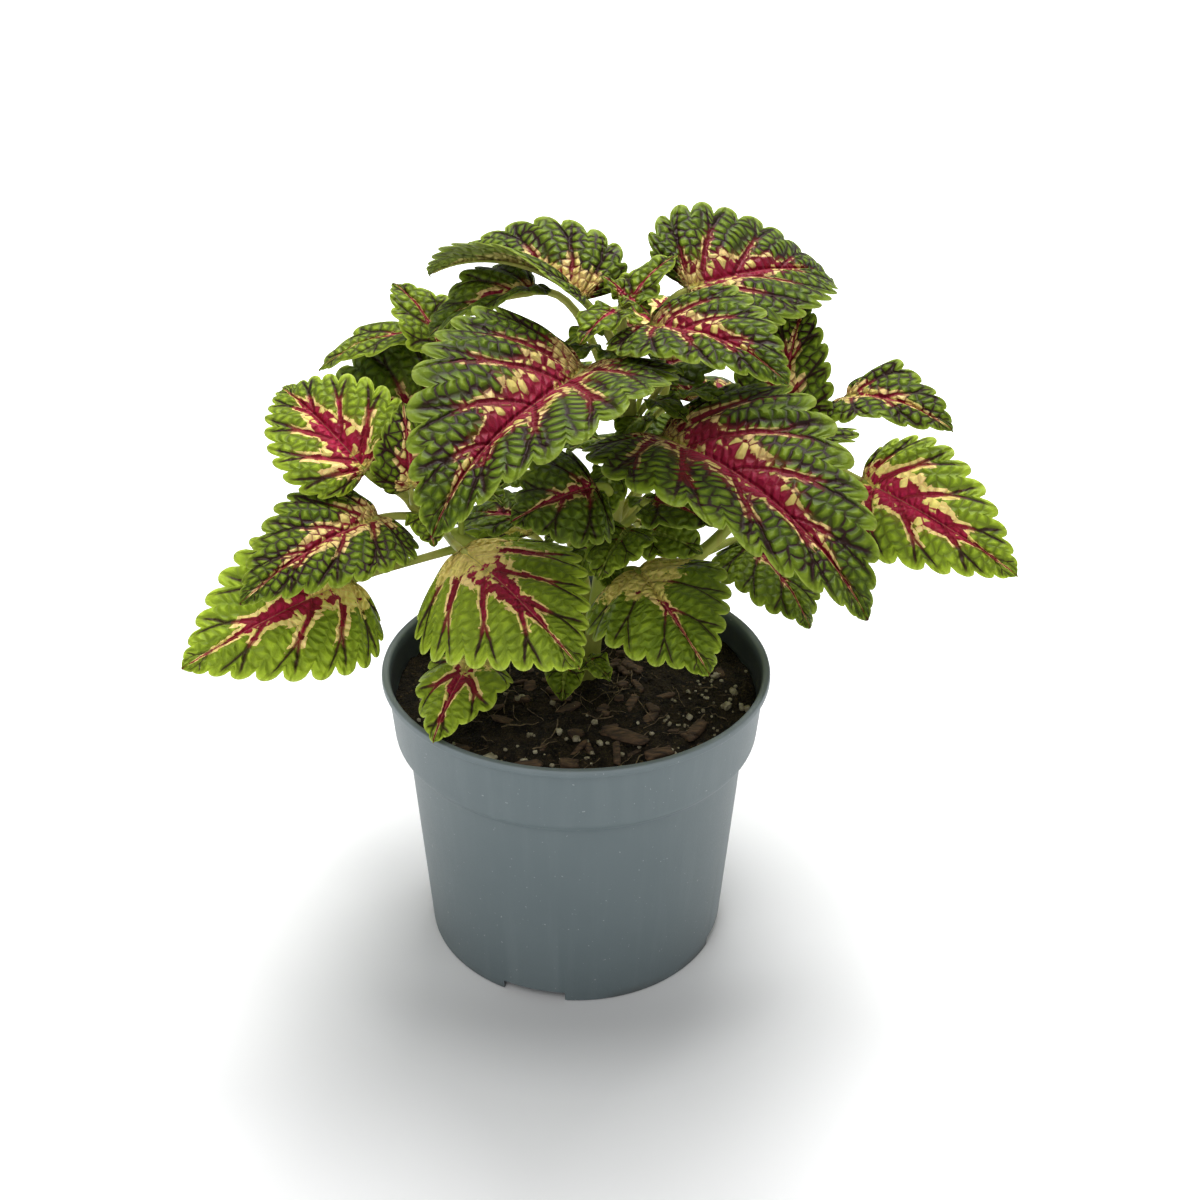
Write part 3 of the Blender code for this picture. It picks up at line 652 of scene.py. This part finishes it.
def blade_material(name, look):
    """A coleus blade: magenta along the veins, cream cells, a dark net and a lime edge."""
    n = Nodes(name)
    count, share, signed = n.axes(n.add("Attribute", output=1, attribute_name="vein"))
    along, reach, level = n.axes(n.add("Attribute", output=1, attribute_name="flat"))
    spacing, under = n.math("ABSOLUTE", signed), n.math("LESS_THAN", signed, 0.0)
    place = n.place()
    broad = n.less(n.noise(place, BROAD, 2), 0.5)
    fine = n.less(n.noise(place, FINE, 3), 0.5)
    is_red = look.red > 0.03

    # side veins, which wander a little and fork before the edge
    wander = n.scaled(broad, WANDER, n.scaled(fine, SHIVER, count))
    off = n.math("ABSOLUTE", n.less(n.math("FRACT", wander), 0.5))
    spread = n.times(n.math("MAXIMUM", n.less(share, FORK), 0), 0.6)
    vein_mm = n.times(n.math("ABSOLUTE", n.less(off, spread)), spacing)
    width = n.scaled(share, -look.vein, look.vein + VEIN_END)
    near_vein = n.step(n.ratio(vein_mm, width), 1.35, 0.6)
    rib_mm = n.times(reach, 0.8)

    # cells between the side veins
    cell_place = n.add("CombineXYZ", {0: n.scaled(wander, CELLS_PER_VEIN, 0.5),
                                      1: n.ratio(level, CELL_LENGTH)})
    cell_inputs = {"Vector": cell_place, "Scale": 1.0, "Randomness": CELL_LOOSENESS}
    border = n.add("TexVoronoi", cell_inputs, feature="DISTANCE_TO_EDGE",
                   voronoi_dimensions="2D")
    cell = n.add("TexVoronoi", cell_inputs, 1, feature="F1", voronoi_dimensions="2D")
    chance = n.less(n.add("SeparateColor", {0: cell}), 0.5)
    cushion = n.step(border, 0.0, 0.45)

    # how far a place lies from the magenta, which follows the midrib and the side veins
    zone = n.scaled(broad, -0.25, share)
    lens = n.times(n.step(along, -0.30, 0.30), n.step(along, 1.0, 0.50))
    core = n.times(lens, look.red)
    from_core = n.times(n.less(zone, core), 10.0)
    vein_end = n.scaled(lens, look.red_veins, core)
    from_vein = n.math("MAXIMUM", n.less(n.ratio(vein_mm, width), 1.0),
                       n.times(n.less(zone, vein_end), 10.0))
    rib_width = n.times(n.scaled(along, -0.85, 1.05), 0.55 + 0.7 * look.vein)
    from_rib = n.less(n.ratio(rib_mm, rib_width), 1.0)
    from_red = n.math("MINIMUM", from_rib, n.math("MINIMUM", from_core, from_vein))
    from_red = n.scaled(chance, 0.9, n.scaled(fine, 1.6, from_red))
    red = n.times(n.step(from_red, 0.10, -0.10), 1.0 if look.red else 0.0)
    cream_reach = n.scaled(n.noise(place, CREAM_EDGE, 1), 2.6 * look.cream, -0.45 * look.cream)
    cream = n.times(n.step(n.less(from_red, cream_reach), 0.05, -0.15),
                    n.step(share, 0.9, 0.7), n.step(along, 0.98, 0.90))
    patch_edge = n.scaled(fine, 0.40, n.scaled(chance, 0.12, look.patch))
    patch = n.step(n.less(n.scaled(zone, 0.5, along), patch_edge), 0.02, -0.02)
    inner = n.step(share, 0.99, 0.87)
    tip = n.step(along, 0.97, 0.80)

    # dark lines, broader by the side veins and just past the magenta
    thin_out = n.scaled(n.step(off, 0.05, 0.45), 0.07, n.scaled(fine, 0.20, border))
    crowded = n.times(n.step(from_core, 4.0, 0.5), n.less(1.0, cream), 0.12 * look.band)
    line = n.step(n.less(thin_out, crowded), 0.20, 0.10)

    # green cells, then cream ones, lines, the patch at the base, and the magenta over them
    green = n.mix(n.scaled(broad, 1.2, look.lime), GREEN, LIME)
    green = n.mix(n.times(n.step(share, 0.82, 0.97), 0.28 + 0.6 * look.lime), green, LIME)
    # painted shade: darker towards the cell borders, in the creases between the domed cells
    green = n.mix(n.times(n.less(1.0, cushion), inner, 0.25 + 0.45 * look.net), green, DEEP)
    green = n.mix(n.times(n.math("MAXIMUM", chance, 0), inner, 0.5), green, DEEP)
    # painted highlight: lighter in the middle of each domed cell
    green = n.mix(n.times(n.step(border, 0.20, 0.42), inner, 0.22), green, LIME)
    pale = n.mix(n.scaled(chance, 0.8, 0.25), CREAM, YELLOW)
    colour = n.mix(cream, green, pale)
    line_colour = n.mix(n.step(from_red, 0.4, 2.2), CRIMSON, NET)
    uneven = n.scaled(n.step(n.noise(place, NET_FADE, 2), 0.62, 0.42), 0.5, 0.5)
    colour = n.mix(n.times(line, inner, tip, uneven, look.net), colour, line_colour)
    band = n.times(near_vein, inner, tip, n.step(share, 0.0, 0.25))
    colour = n.mix(n.times(band, look.band), colour, line_colour)
    patch_colour = n.mix(n.scaled(fine, 1.0, 0.30 + 0.3 * look.net), YELLOW, CREAM)
    patch_colour = n.mix(n.times(line, 0.7 * look.net), patch_colour, CRIMSON)
    colour = n.mix(patch, colour, patch_colour)
    teeth = n.times(n.less(1.0, near_vein), n.math("GREATER_THAN", chance, 0.16),
                    n.step(from_red, -1.6, -0.9), n.less(1.0, line))
    dark_red = n.mix(n.step(from_red, -1.8, 0.0), MAGENTA, CRIMSON)
    magenta = n.mix(n.times(line, 0.5), n.mix(n.math("ADD", chance, 0.5), dark_red, MAGENTA),
                    CRIMSON)
    colour = n.mix(n.times(red, n.less(1.0, teeth), n.less(1.0, n.times(patch, 0.85))),
                   colour, magenta)

    # thin lines: side veins, then the midrib
    thin = n.scaled(share, -0.25, 0.5)
    side_line = n.step(n.ratio(vein_mm, thin), 1.0, 0.4)
    colour = n.mix(n.times(side_line, 0.85, n.step(share, 0.97, 0.85), n.less(1.0, patch)),
                   colour, line_colour)
    rib = n.step(n.ratio(rib_mm, n.scaled(along, -0.8, 1.1)), 1.0, 0.6)
    rib_colour = MAGENTA if is_red else GREEN_RIB
    colour = n.mix(n.times(rib, tip), colour, n.mix(n.times(patch, 0.8), rib_colour, YELLOW))
    colour = n.mix(n.times(n.step(rib_mm, 0.30, 0.12), tip, 0.5), colour,
                   PALE_RIB if is_red else GREEN_RIB)
    colour = n.mix(n.times(n.step(share, 0.965, 1.0), 0.5), colour, RIM)

    # underside: pale, with the colour showing through
    colour = n.mix(n.times(under, 0.62), colour, UNDERSIDE)
    # painted light: the colour is made lighter or darker by the look's brightness, with a little
    # random tone
    painted_light = n.scaled(fine, 0.25, look.painted_light)
    painted_light_grey = n.add("CombineColor", {0: painted_light, 1: painted_light, 2: painted_light})
    colour = n.add("Mix", {0: 1.0, 6: colour, 7: painted_light_grey}, 2, data_type="RGBA",
                   blend_type="MULTIPLY")

    # relief: cells stand proud of the veins
    relief = n.times(cushion, n.scaled(inner, 0.5, 0.3))
    relief = n.scaled(n.step(vein_mm, 0.1, 1.5), 0.9, relief)
    relief = n.scaled(n.step(rib_mm, 0.2, 1.6), 0.8, relief)
    relief = n.scaled(n.noise(place, SKIN, 2), 0.10, relief)
    rough = n.scaled(fine, 0.35, 0.52)
    return n.surface(Base_Color=colour, Roughness=rough, Normal=n.bump(relief, BLADE_RELIEF),
                     Specular_IOR_Level=BLADE_GLOSS, Subsurface_Weight=0.06,
                     Subsurface_Radius=(0.6, 1.0, 0.1), Subsurface_Scale=0.001)


STEM_GREEN, STEM_PALE, STEM_RED = (0.25, 0.30, 0.035), (0.42, 0.42, 0.10), (0.28, 0.13, 0.05)


def stem_material():
    """A pale green stem with reddish streaks along it."""
    n = Nodes("stem")
    streak = n.noise(n.stretched((260, 260, 40)), 1.0, 4)
    blotch = n.noise(n.place(), 55, 3)
    colour = n.mix(n.step(blotch, 0.35, 0.65), STEM_GREEN, STEM_PALE)
    colour = n.mix(n.times(n.step(streak, 0.55, 0.75), 0.4), colour, STEM_RED)
    return n.surface(Base_Color=colour, Roughness=n.scaled(streak, 0.3, 0.40),
                     Normal=n.bump(streak, 0.0003, 0.6), Specular_IOR_Level=0.2,
                     Subsurface_Weight=0.10, Subsurface_Radius=(0.8, 1.0, 0.2),
                     Subsurface_Scale=0.0015)


SLATE_DARK, SLATE_LIGHT = (0.105, 0.140, 0.150), (0.135, 0.172, 0.182)
POT_STREAK, POT_SPECK, POT_EDGE_HIGHLIGHT = (0.17, 0.21, 0.215), (0.42, 0.45, 0.44), (0.24, 0.28, 0.29)
POT_LIP_HIGHLIGHT, POT_FOOT_DARK, POT_INSIDE_SHADE = (0.26, 0.30, 0.31), (0.05, 0.04, 0.03), (0.035, 0.040, 0.040)


def pot_material():
    """Cloudy slate plastic with faint streaks and specks, a painted highlight on sharp edges and
    the lip, darker at the foot, and painted shade inside above the soil.
    """
    n = Nodes("pot")
    place = n.place()
    height = n.axes(place)[2]
    cloud = n.noise(place, 28, 4)
    grain = n.noise(place, 1800, 3)
    specks = n.step(n.noise(place, 900, 1), 0.74, 0.78)
    streaks = n.noise(n.stretched((240, 240, 12)), 1.0, 3)
    colour = n.mix(cloud, SLATE_DARK, SLATE_LIGHT)
    colour = n.mix(n.times(n.step(streaks, 0.45, 0.7), 0.18), colour, POT_STREAK)
    colour = n.mix(n.times(specks, 0.5), colour, POT_SPECK)
    # painted highlight: lighter on sharp edges
    edge_highlight = n.step(n.add("NewGeometry", output=7), 0.52, 0.60)
    colour = n.mix(n.times(edge_highlight, 0.35), colour, POT_EDGE_HIGHLIGHT)
    # painted highlight: lighter along the top of the lip
    lip_highlight = n.step(height, (POT_HEIGHT - 1.2) * MM, POT_HEIGHT * MM)
    colour = n.mix(n.times(lip_highlight, n.scaled(cloud, 0.8, 0.1)), colour, POT_LIP_HIGHLIGHT)
    # darker in blotches at the foot, below the raised floor
    darker_foot = n.times(n.step(height, FLOOR_RAISE * MM, 0.0), n.step(cloud, 0.4, 0.6))
    colour = n.mix(n.times(darker_foot, 0.6), colour, POT_FOOT_DARK)
    # painted shade: the inner wall above the soil is darker
    flat_place = n.add("VectorMath", {0: place, 1: (1, 1, 0)}, operation="MULTIPLY")
    out = n.add("VectorMath", {0: flat_place}, "Value", operation="LENGTH")
    inside = n.times(n.step(out, (LIP_RADIUS - 2.4) * MM, (LIP_RADIUS - 3.0) * MM),
                     n.step(height, (SOIL_EDGE - 1.5) * MM, (SOIL_EDGE + 0.5) * MM))
    colour = n.mix(n.times(inside, n.scaled(cloud, 0.4, 0.6)), colour, POT_INSIDE_SHADE)
    relief = n.scaled(streaks, 0.3, grain)
    return n.surface(Base_Color=colour, Roughness=n.scaled(grain, 0.2, 0.38),
                     Normal=n.bump(relief, 0.00008, 0.5), Specular_IOR_Level=0.5)


PEAT_DARK, PEAT, PEAT_DRY = (0.006, 0.004, 0.002), (0.034, 0.024, 0.012), (0.10, 0.065, 0.030)


def soil_material():
    """Dark crumbly peat with drier flecks."""
    n = Nodes("soil")
    place = n.place()
    lumps = n.noise(place, 260, 5, 0.65)
    grains = n.add("TexVoronoi", {"Vector": place, "Scale": 900.0})
    colour = n.mix(n.step(lumps, 0.35, 0.65), PEAT_DARK, PEAT)
    colour = n.mix(n.step(n.noise(place, 700, 3), 0.60, 0.72), colour, PEAT_DRY)
    relief = n.math("ADD", lumps, grains)
    return n.surface(Base_Color=colour, Roughness=n.scaled(lumps, 0.4, 0.6),
                     Normal=n.bump(relief, 0.0012, 0.9), Specular_IOR_Level=0.2)


BITS = (  # name, dark, light, stretch of the streaks, roughness
    ("bark_chips", (0.034, 0.019, 0.010), (0.15, 0.085, 0.042), (220, 900, 900), 0.7),
    ("peat_fibres", (0.07, 0.045, 0.022), (0.26, 0.19, 0.10), (500, 500, 500), 0.6),
    ("pale_grit", (0.24, 0.20, 0.12), (0.58, 0.53, 0.38), (500, 500, 500), 0.6),
)


def bit_material(name, dark, light, stretch, rough):
    """Bark, fibre or grit: streaks between two colours."""
    n = Nodes(name)
    streak = n.noise(n.stretched(stretch), 1.0, 5, 0.6)
    blotch = n.noise(n.place(), 180, 3)
    colour = n.mix(n.step(streak, 0.35, 0.65), dark, light)
    colour = n.mix(n.times(n.step(blotch, 0.45, 0.7), 0.5), colour, dark)
    return n.surface(Base_Color=colour, Roughness=n.scaled(streak, 0.2, rough),
                     Normal=n.bump(streak, 0.0006, 0.9))


# pot
def rounded(profile, radius, steps):
    """The profile with its corners rounded, as far as its short sides allow."""
    points = [Vector(p) for p in profile]
    out = [points[0]]
    for a, b, c in zip(points, points[1:], points[2:]):
        cut = min(radius, (a - b).length * 0.45, (c - b).length * 0.45)
        start, end = b + (a - b).normalized() * cut, b + (c - b).normalized() * cut
        for k in range(steps + 1):
            f = k / steps
            out.append(start * (1 - f) ** 2 + b * 2 * f * (1 - f) + end * f * f)
    return out + [points[-1]]


def turned(name, profile, steps):
    """A closed profile turned about the Z axis."""
    shape = bmesh.new()
    points = [shape.verts.new((r * MM, 0, z * MM)) for r, z in profile]
    for a, b in zip(points, points[1:]):
        shape.edges.new((a, b))
    thing = linked(name, mesh_from(name, shape))
    screw = thing.modifiers.new("turn", "SCREW")
    screw.axis = "Z"
    screw.steps = screw.render_steps = steps
    screw.use_merge_vertices = True
    screw.merge_threshold = 0.00001
    return thing


def make_pot(material):
    """The turned pot, with drain holes and foot arches cut through."""
    floor_top, pad_foot = FLOOR_RAISE + WALL, PAD_RADIUS + PAD_SLOPE
    profile = (
        (0, WALL),
        (PAD_RADIUS - WALL / 2, WALL),
        (pad_foot - WALL / 2, floor_top),
        (BASE_RADIUS - WALL, floor_top),
        (BODY_TOP_RADIUS - WALL, BODY_TOP + WALL / 2),
        (COLLAR_FOOT_RADIUS - WALL, COLLAR_FOOT + WALL / 2),
        (COLLAR_TOP_RADIUS - WALL, POT_HEIGHT - LIP_HEIGHT),
        (COLLAR_TOP_RADIUS - WALL / 2, POT_HEIGHT),
        (LIP_RADIUS - LIP_ROUND / 3, POT_HEIGHT),
        (LIP_RADIUS, POT_HEIGHT - LIP_ROUND),
        (LIP_RADIUS, POT_HEIGHT - LIP_HEIGHT + LIP_ROUND / 2),
        (COLLAR_TOP_RADIUS, POT_HEIGHT - LIP_HEIGHT),
        (COLLAR_FOOT_RADIUS, COLLAR_FOOT),
        (BODY_TOP_RADIUS, BODY_TOP),
        (BASE_RADIUS, 0),
        (BASE_RADIUS - WALL, 0),
        (BASE_RADIUS - WALL, FLOOR_RAISE),
        (pad_foot, FLOOR_RAISE),
        (PAD_RADIUS, 0),
        (0, 0),
    )
    pot = turned("nursery_pot", rounded(profile, 1.6, CORNER_STEPS), POT_STEPS)
    cutters = bmesh.new()
    for k in range(DRAIN_HOLES):
        turn = 2 * pi * k / DRAIN_HOLES
        place = Matrix.Translation((DRAIN_RING_RADIUS * cos(turn) * MM,
                                    DRAIN_RING_RADIUS * sin(turn) * MM, floor_top * MM))
        bmesh.ops.create_cone(cutters, cap_ends=True, segments=HOLE_STEPS, matrix=place,
                              radius1=DRAIN_HOLE_RADIUS * MM, radius2=DRAIN_HOLE_RADIUS * MM,
                              depth=4 * WALL * MM)
    for k in range(ARCHES):
        turn = Matrix.Rotation(radians(ARCH_TURN + 360 / ARCHES * k), 4, "Z")
        place = turn @ Matrix.Translation((BASE_RADIUS * MM, 0, 0))
        size = Matrix.Diagonal((6 * WALL * MM, ARCH_WIDTH * MM, 2 * ARCH_HEIGHT * MM, 1))
        bmesh.ops.create_cube(cutters, size=1, matrix=place @ size)
    cutter = linked("cutters", mesh_from("cutters", cutters))
    cut = pot.modifiers.new("cut", "BOOLEAN")
    cut.object, cut.operation, cut.solver = cutter, "DIFFERENCE", "EXACT"
    graph = bpy.context.evaluated_depsgraph_get()
    mesh = bpy.data.meshes.new_from_object(pot.evaluated_get(graph))
    pot.modifiers.clear()
    pot.data = mesh
    bpy.data.objects.remove(cutter)
    pot.data.shade_smooth()
    pot.data.set_sharp_from_angle(angle=radians(35))
    pot.data.materials.clear()
    pot.data.materials.append(material)
    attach(pot, "root")
    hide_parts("pot")


# soil
def soil_height(x, y):
    """The height of the crumbly surface over the pot's foot."""
    far = min(1.0, Vector((x, y)).length / COLLAR_TOP_RADIUS)
    height = SOIL_CROWN + (SOIL_EDGE - SOIL_CROWN) * far * far
    for size, scale in CRUMBS:
        height += size * noise.noise(Vector((x, y, CRUMB_SLICE)) * scale)
    return height


def make_soil(material):
    """The crumbly surface from its middle out, then the sides down to the floor."""
    shape = Shape()
    slope = (COLLAR_TOP_RADIUS - COLLAR_FOOT_RADIUS) / (POT_HEIGHT - COLLAR_FOOT)
    edge = COLLAR_FOOT_RADIUS - WALL - SOIL_GAP + slope * (SOIL_EDGE - COLLAR_FOOT)
    floor_top = FLOOR_RAISE + WALL + SOIL_GAP
    levels = [(max(edge * k / SOIL_RINGS, 0.01), None) for k in range(SOIL_RINGS + 1)]
    levels += [(COLLAR_FOOT_RADIUS - WALL - SOIL_GAP, COLLAR_FOOT + WALL / 2 + SOIL_GAP),
               (BODY_TOP_RADIUS - WALL - SOIL_GAP, BODY_TOP + WALL / 2 + SOIL_GAP),
               (BASE_RADIUS - WALL - 2 * SOIL_GAP, floor_top), (0.01, floor_top)]
    rings = []
    for radius, height in levels:
        ring = []
        for j in range(SOIL_STEPS):
            turn = 2 * pi * j / SOIL_STEPS
            x, y = radius * cos(turn), radius * sin(turn)
            ring.append(shape.add((x, y, height or soil_height(x, y))))
        rings.append(ring)
    for a, b in zip(rings, rings[1:]):
        for j in range(SOIL_STEPS):
            i = (j + 1) % SOIL_STEPS
            shape.face((a[j], b[j], b[i], a[i]))
    shape.face(rings[0])
    shape.face(rings[-1][::-1])
    soil = shape.make("soil_surface", [material])
    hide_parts("soil")


def add_lump(shape, centre, size, turn, draw, cuts=3, rough=0.25):
    """A rounded broken lump: a cube's grid pushed in and out by noise."""
    lump = bmesh.new()
    bmesh.ops.create_cube(lump, size=1)
    bmesh.ops.subdivide_edges(lump, edges=lump.edges[:], cuts=cuts, use_grid_fill=True)
    shift = Vector((draw.uniform(0, 99), draw.uniform(0, 99), draw.uniform(0, 99)))
    first = len(shape.points)
    for vert in lump.verts:
        far = max(abs(c) for c in vert.co) / max(vert.co.length, 0.01)
        point = vert.co * (0.45 + 0.55 * far)
        point = point * (1 + rough * noise.noise(vert.co * 2.5 + shift))
        point = turn @ Vector((point.x * size[0], point.y * size[1], point.z * size[2]))
        shape.add(point + Vector(centre))
    lump.verts.index_update()
    for face in lump.faces:
        shape.face([first + v.index for v in face.verts])
    lump.free()


def on_soil(x, y, lift):
    return Vector((x, y, soil_height(x, y) + lift))


def scattered(draw, inner, outer, turns=ALL_ROUND):
    turn = radians(draw.uniform(*turns))
    reach = draw.uniform(inner, outer)
    return reach * cos(turn), reach * sin(turn)


def tilted(angle, draw, tilt):
    """A turn about the upright axis, after a small tilt."""
    return Matrix.Rotation(angle, 3, "Z") @ Matrix.Rotation(draw.uniform(-tilt, tilt), 3, "Y")


def make_litter():
    """Bark, fibres and grit that lie on the soil."""
    draw = Random(SOIL_SEED)
    bark, fibres, grit = Shape(), Shape(), Shape()
    for x, y, long, wide, angle in LARGE_CHIPS:
        turn = tilted(radians(angle), draw, 0.15)
        add_lump(bark, on_soil(x, y, 0.5), (long, wide, 2.4), turn, draw, 5)
    for _ in range(SMALL_CHIPS):
        x, y = scattered(draw, 8, 52)
        turn = tilted(draw.uniform(0, pi), draw, 0.4)
        size = (draw.uniform(3, 9), draw.uniform(1.5, 4), draw.uniform(0.8, 2))
        add_lump(bark, on_soil(x, y, 0.2), size, turn, draw)
    for _ in range(FIBRES):
        x, y = scattered(draw, 6, 50)
        heading, bend = draw.uniform(0, 2 * pi), draw.uniform(-0.5, 0.5)
        step, radius = draw.uniform(4, 15) / FIBRE_STEPS, draw.uniform(0.10, 0.26)
        path, radii = [], []
        for k in range(FIBRE_STEPS + 1):
            path.append(on_soil(x, y, 0.4 + draw.uniform(0, 0.5)))
            radii.append(radius * (1 - 0.5 * k / FIBRE_STEPS))
            x, y, heading = x + step * cos(heading), y + step * sin(heading), heading + bend / 3
            if Vector((x, y)).length > FIBRE_REACH:
                break
        if len(path) > 2:
            add_tube(fibres, path, radii, 0, FIBRE_SIDES)
    for x, y, size in LARGE_GRIT:
        turn = Matrix.Rotation(draw.uniform(0, pi), 3, "Z")
        add_lump(grit, on_soil(x, y, 0.5), (size, size * 0.6, size * 0.5), turn, draw, 4, 0.5)
    for _ in range(SMALL_GRIT):
        turns = draw.choice((ALL_ROUND, FRONT, RIGHT))
        x, y = scattered(draw, 10 if turns == ALL_ROUND else 30, 55, turns)
        size = draw.uniform(0.6, 1.5) * (1.7 if draw.random() < 0.12 else 1)
        turn = Matrix.Rotation(draw.uniform(0, pi), 3, Vector((draw.random(), 1, draw.random())))
        add_lump(grit, on_soil(x, y, 0.3 * size), (size, size * 0.8, size * 0.7), turn, draw, 2)
    for shape, (name, *finish) in zip((bark, fibres, grit), BITS):
        thing = shape.make(name, [bit_material(name, *finish)])


# plant
def make_plant():
    stem_look = stem_material()
    blades = {name: blade_material("blade_" + name, look) for name, look in LOOKS.items()}
    stems = Shape()
    for name, stem in STEMS.items():
        if stem.piece == "stem":
            add_stem(stems, name)
    piece = stems.make("green_stems", [stem_look])
    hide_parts("stem")
    sides = Shape()
    for index, leaf in enumerate(LEAVES):
        if leaf.name == "side":
            add_blade(sides, leaf, index)
            add_stalk(sides, leaf)
    sides.make("side_leaves", [blades["plain"], stem_look])
    for index, leaf in enumerate(LEAVES):
        if leaf.name in ("young", "side"):
            continue
        shape = Shape()
        add_blade(shape, leaf, index)
        add_stalk(shape, leaf)
        piece = shape.make(leaf.name.replace("leaf_", "blade_"), [blades[leaf.look], stem_look])
        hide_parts(leaf.name)
    for name, stem in STEMS.items():
        if stem.piece == "stem":
            continue
        shape = Shape()
        look = "young"
        for index, leaf in enumerate(LEAVES):
            if leaf.stem == name:
                add_blade(shape, leaf, index)
                add_stalk(shape, leaf)
                look = leaf.look
        add_stem(shape, name, 1)
        piece = shape.make(stem.piece.replace("shoot_", "young_"), [blades[look], stem_look])
        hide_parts(stem.piece)


# studio
FLOOR_DARK, FLOOR_LIGHT, SHADED = (0.86,) * 3, (0.90,) * 3, (0.42,) * 3
FLOOR_RADIUS, FLOOR_DROP = 12.0, 0.0002
# where the painted shadow ends, around the pot and towards the front, in metres
SHADE_EDGE, SHADE_FRONT = (0.090, 0.055), (-0.030, -0.060)
NEAR_GLOW, FAR_GLOW = (0.04, 0.19), (0.15, 0.50)  # where they begin and are full, in metres
SKY, SKY_STRENGTH = (0.97, 0.985, 1.0, 1), 0.36
LIGHTS = (  # name, place, size, watts
    ("key", (0.12, 0.60, 1.20), 0.7, 15.5),
    ("fill", (-0.3, -1.0, 1.3), 0.9, 6.5),
)
LIT_POINT = (0, 0, 0.12)
EYE, LOOKS_DOWN = (0, -0.388, 0.326), 28.4
PICTURE, FOCAL_LENGTH, MIDDLE_X = 1200, 1454, 576  # pixels


def floor_material():
    """A pale floor with a painted shadow in front of the pot, which glows as painted light away
    from it.
    """
    n = Nodes("floor")
    place = n.place()
    tone = n.mix(n.noise(place, 3, 2), FLOOR_DARK, FLOOR_LIGHT)
    far = n.add("VectorMath", {0: place}, "Value", operation="LENGTH")
    front = n.step(n.axes(place)[1], *SHADE_FRONT)
    # painted shadow: the floor's colour is darker in front of the pot
    tone = n.mix(n.times(n.step(far, *SHADE_EDGE), front, 0.5), tone, SHADED)
    # painted light: the floor glows, little near the pot so the painted shadow stays dark, fully
    # far off so the floor is white
    glow = n.scaled(n.step(far, *NEAR_GLOW), 0.46, n.times(n.step(far, *FAR_GLOW), 0.39))
    return n.surface(Base_Color=tone, Roughness=0.9, Emission_Color=(1, 1, 1, 1),
                     Emission_Strength=glow)


def make_studio():
    """The floor, the sky, two lamps and the photograph's camera."""
    shape = bmesh.new()
    bmesh.ops.create_circle(shape, cap_ends=True, radius=FLOOR_RADIUS, segments=64)
    floor = linked("floor", mesh_from("floor", shape))
    floor.data.materials.append(floor_material())
    floor.location.z = -FLOOR_DROP

    scene = bpy.context.scene
    scene.world = bpy.data.worlds.new("studio")
    scene.world.use_nodes = True
    sky = scene.world.node_tree.nodes["Background"].inputs
    sky[0].default_value, sky[1].default_value = SKY, SKY_STRENGTH
    for name, location, size, power in LIGHTS:
        lamp = bpy.data.lights.new(name, "AREA")
        lamp.shape, lamp.size, lamp.energy = "DISK", size, power
        thing = linked(name, lamp)
        thing.location = location
        aim = Vector(LIT_POINT) - Vector(location)
        thing.rotation_euler = aim.to_track_quat("-Z", "Y").to_euler()

    camera = bpy.data.cameras.new("camera")
    camera.sensor_width = 36.0
    camera.lens = FOCAL_LENGTH / PICTURE * camera.sensor_width
    camera.shift_x = (PICTURE / 2 - MIDDLE_X) / PICTURE
    scene.camera = linked("camera", camera)
    scene.camera.location = EYE
    scene.camera.rotation_euler = (radians(90 - LOOKS_DOWN), 0, 0)
    scene.view_settings.view_transform = "Standard"


make_studio()
make_pot(pot_material())
make_soil(soil_material())
make_litter()
make_plant()
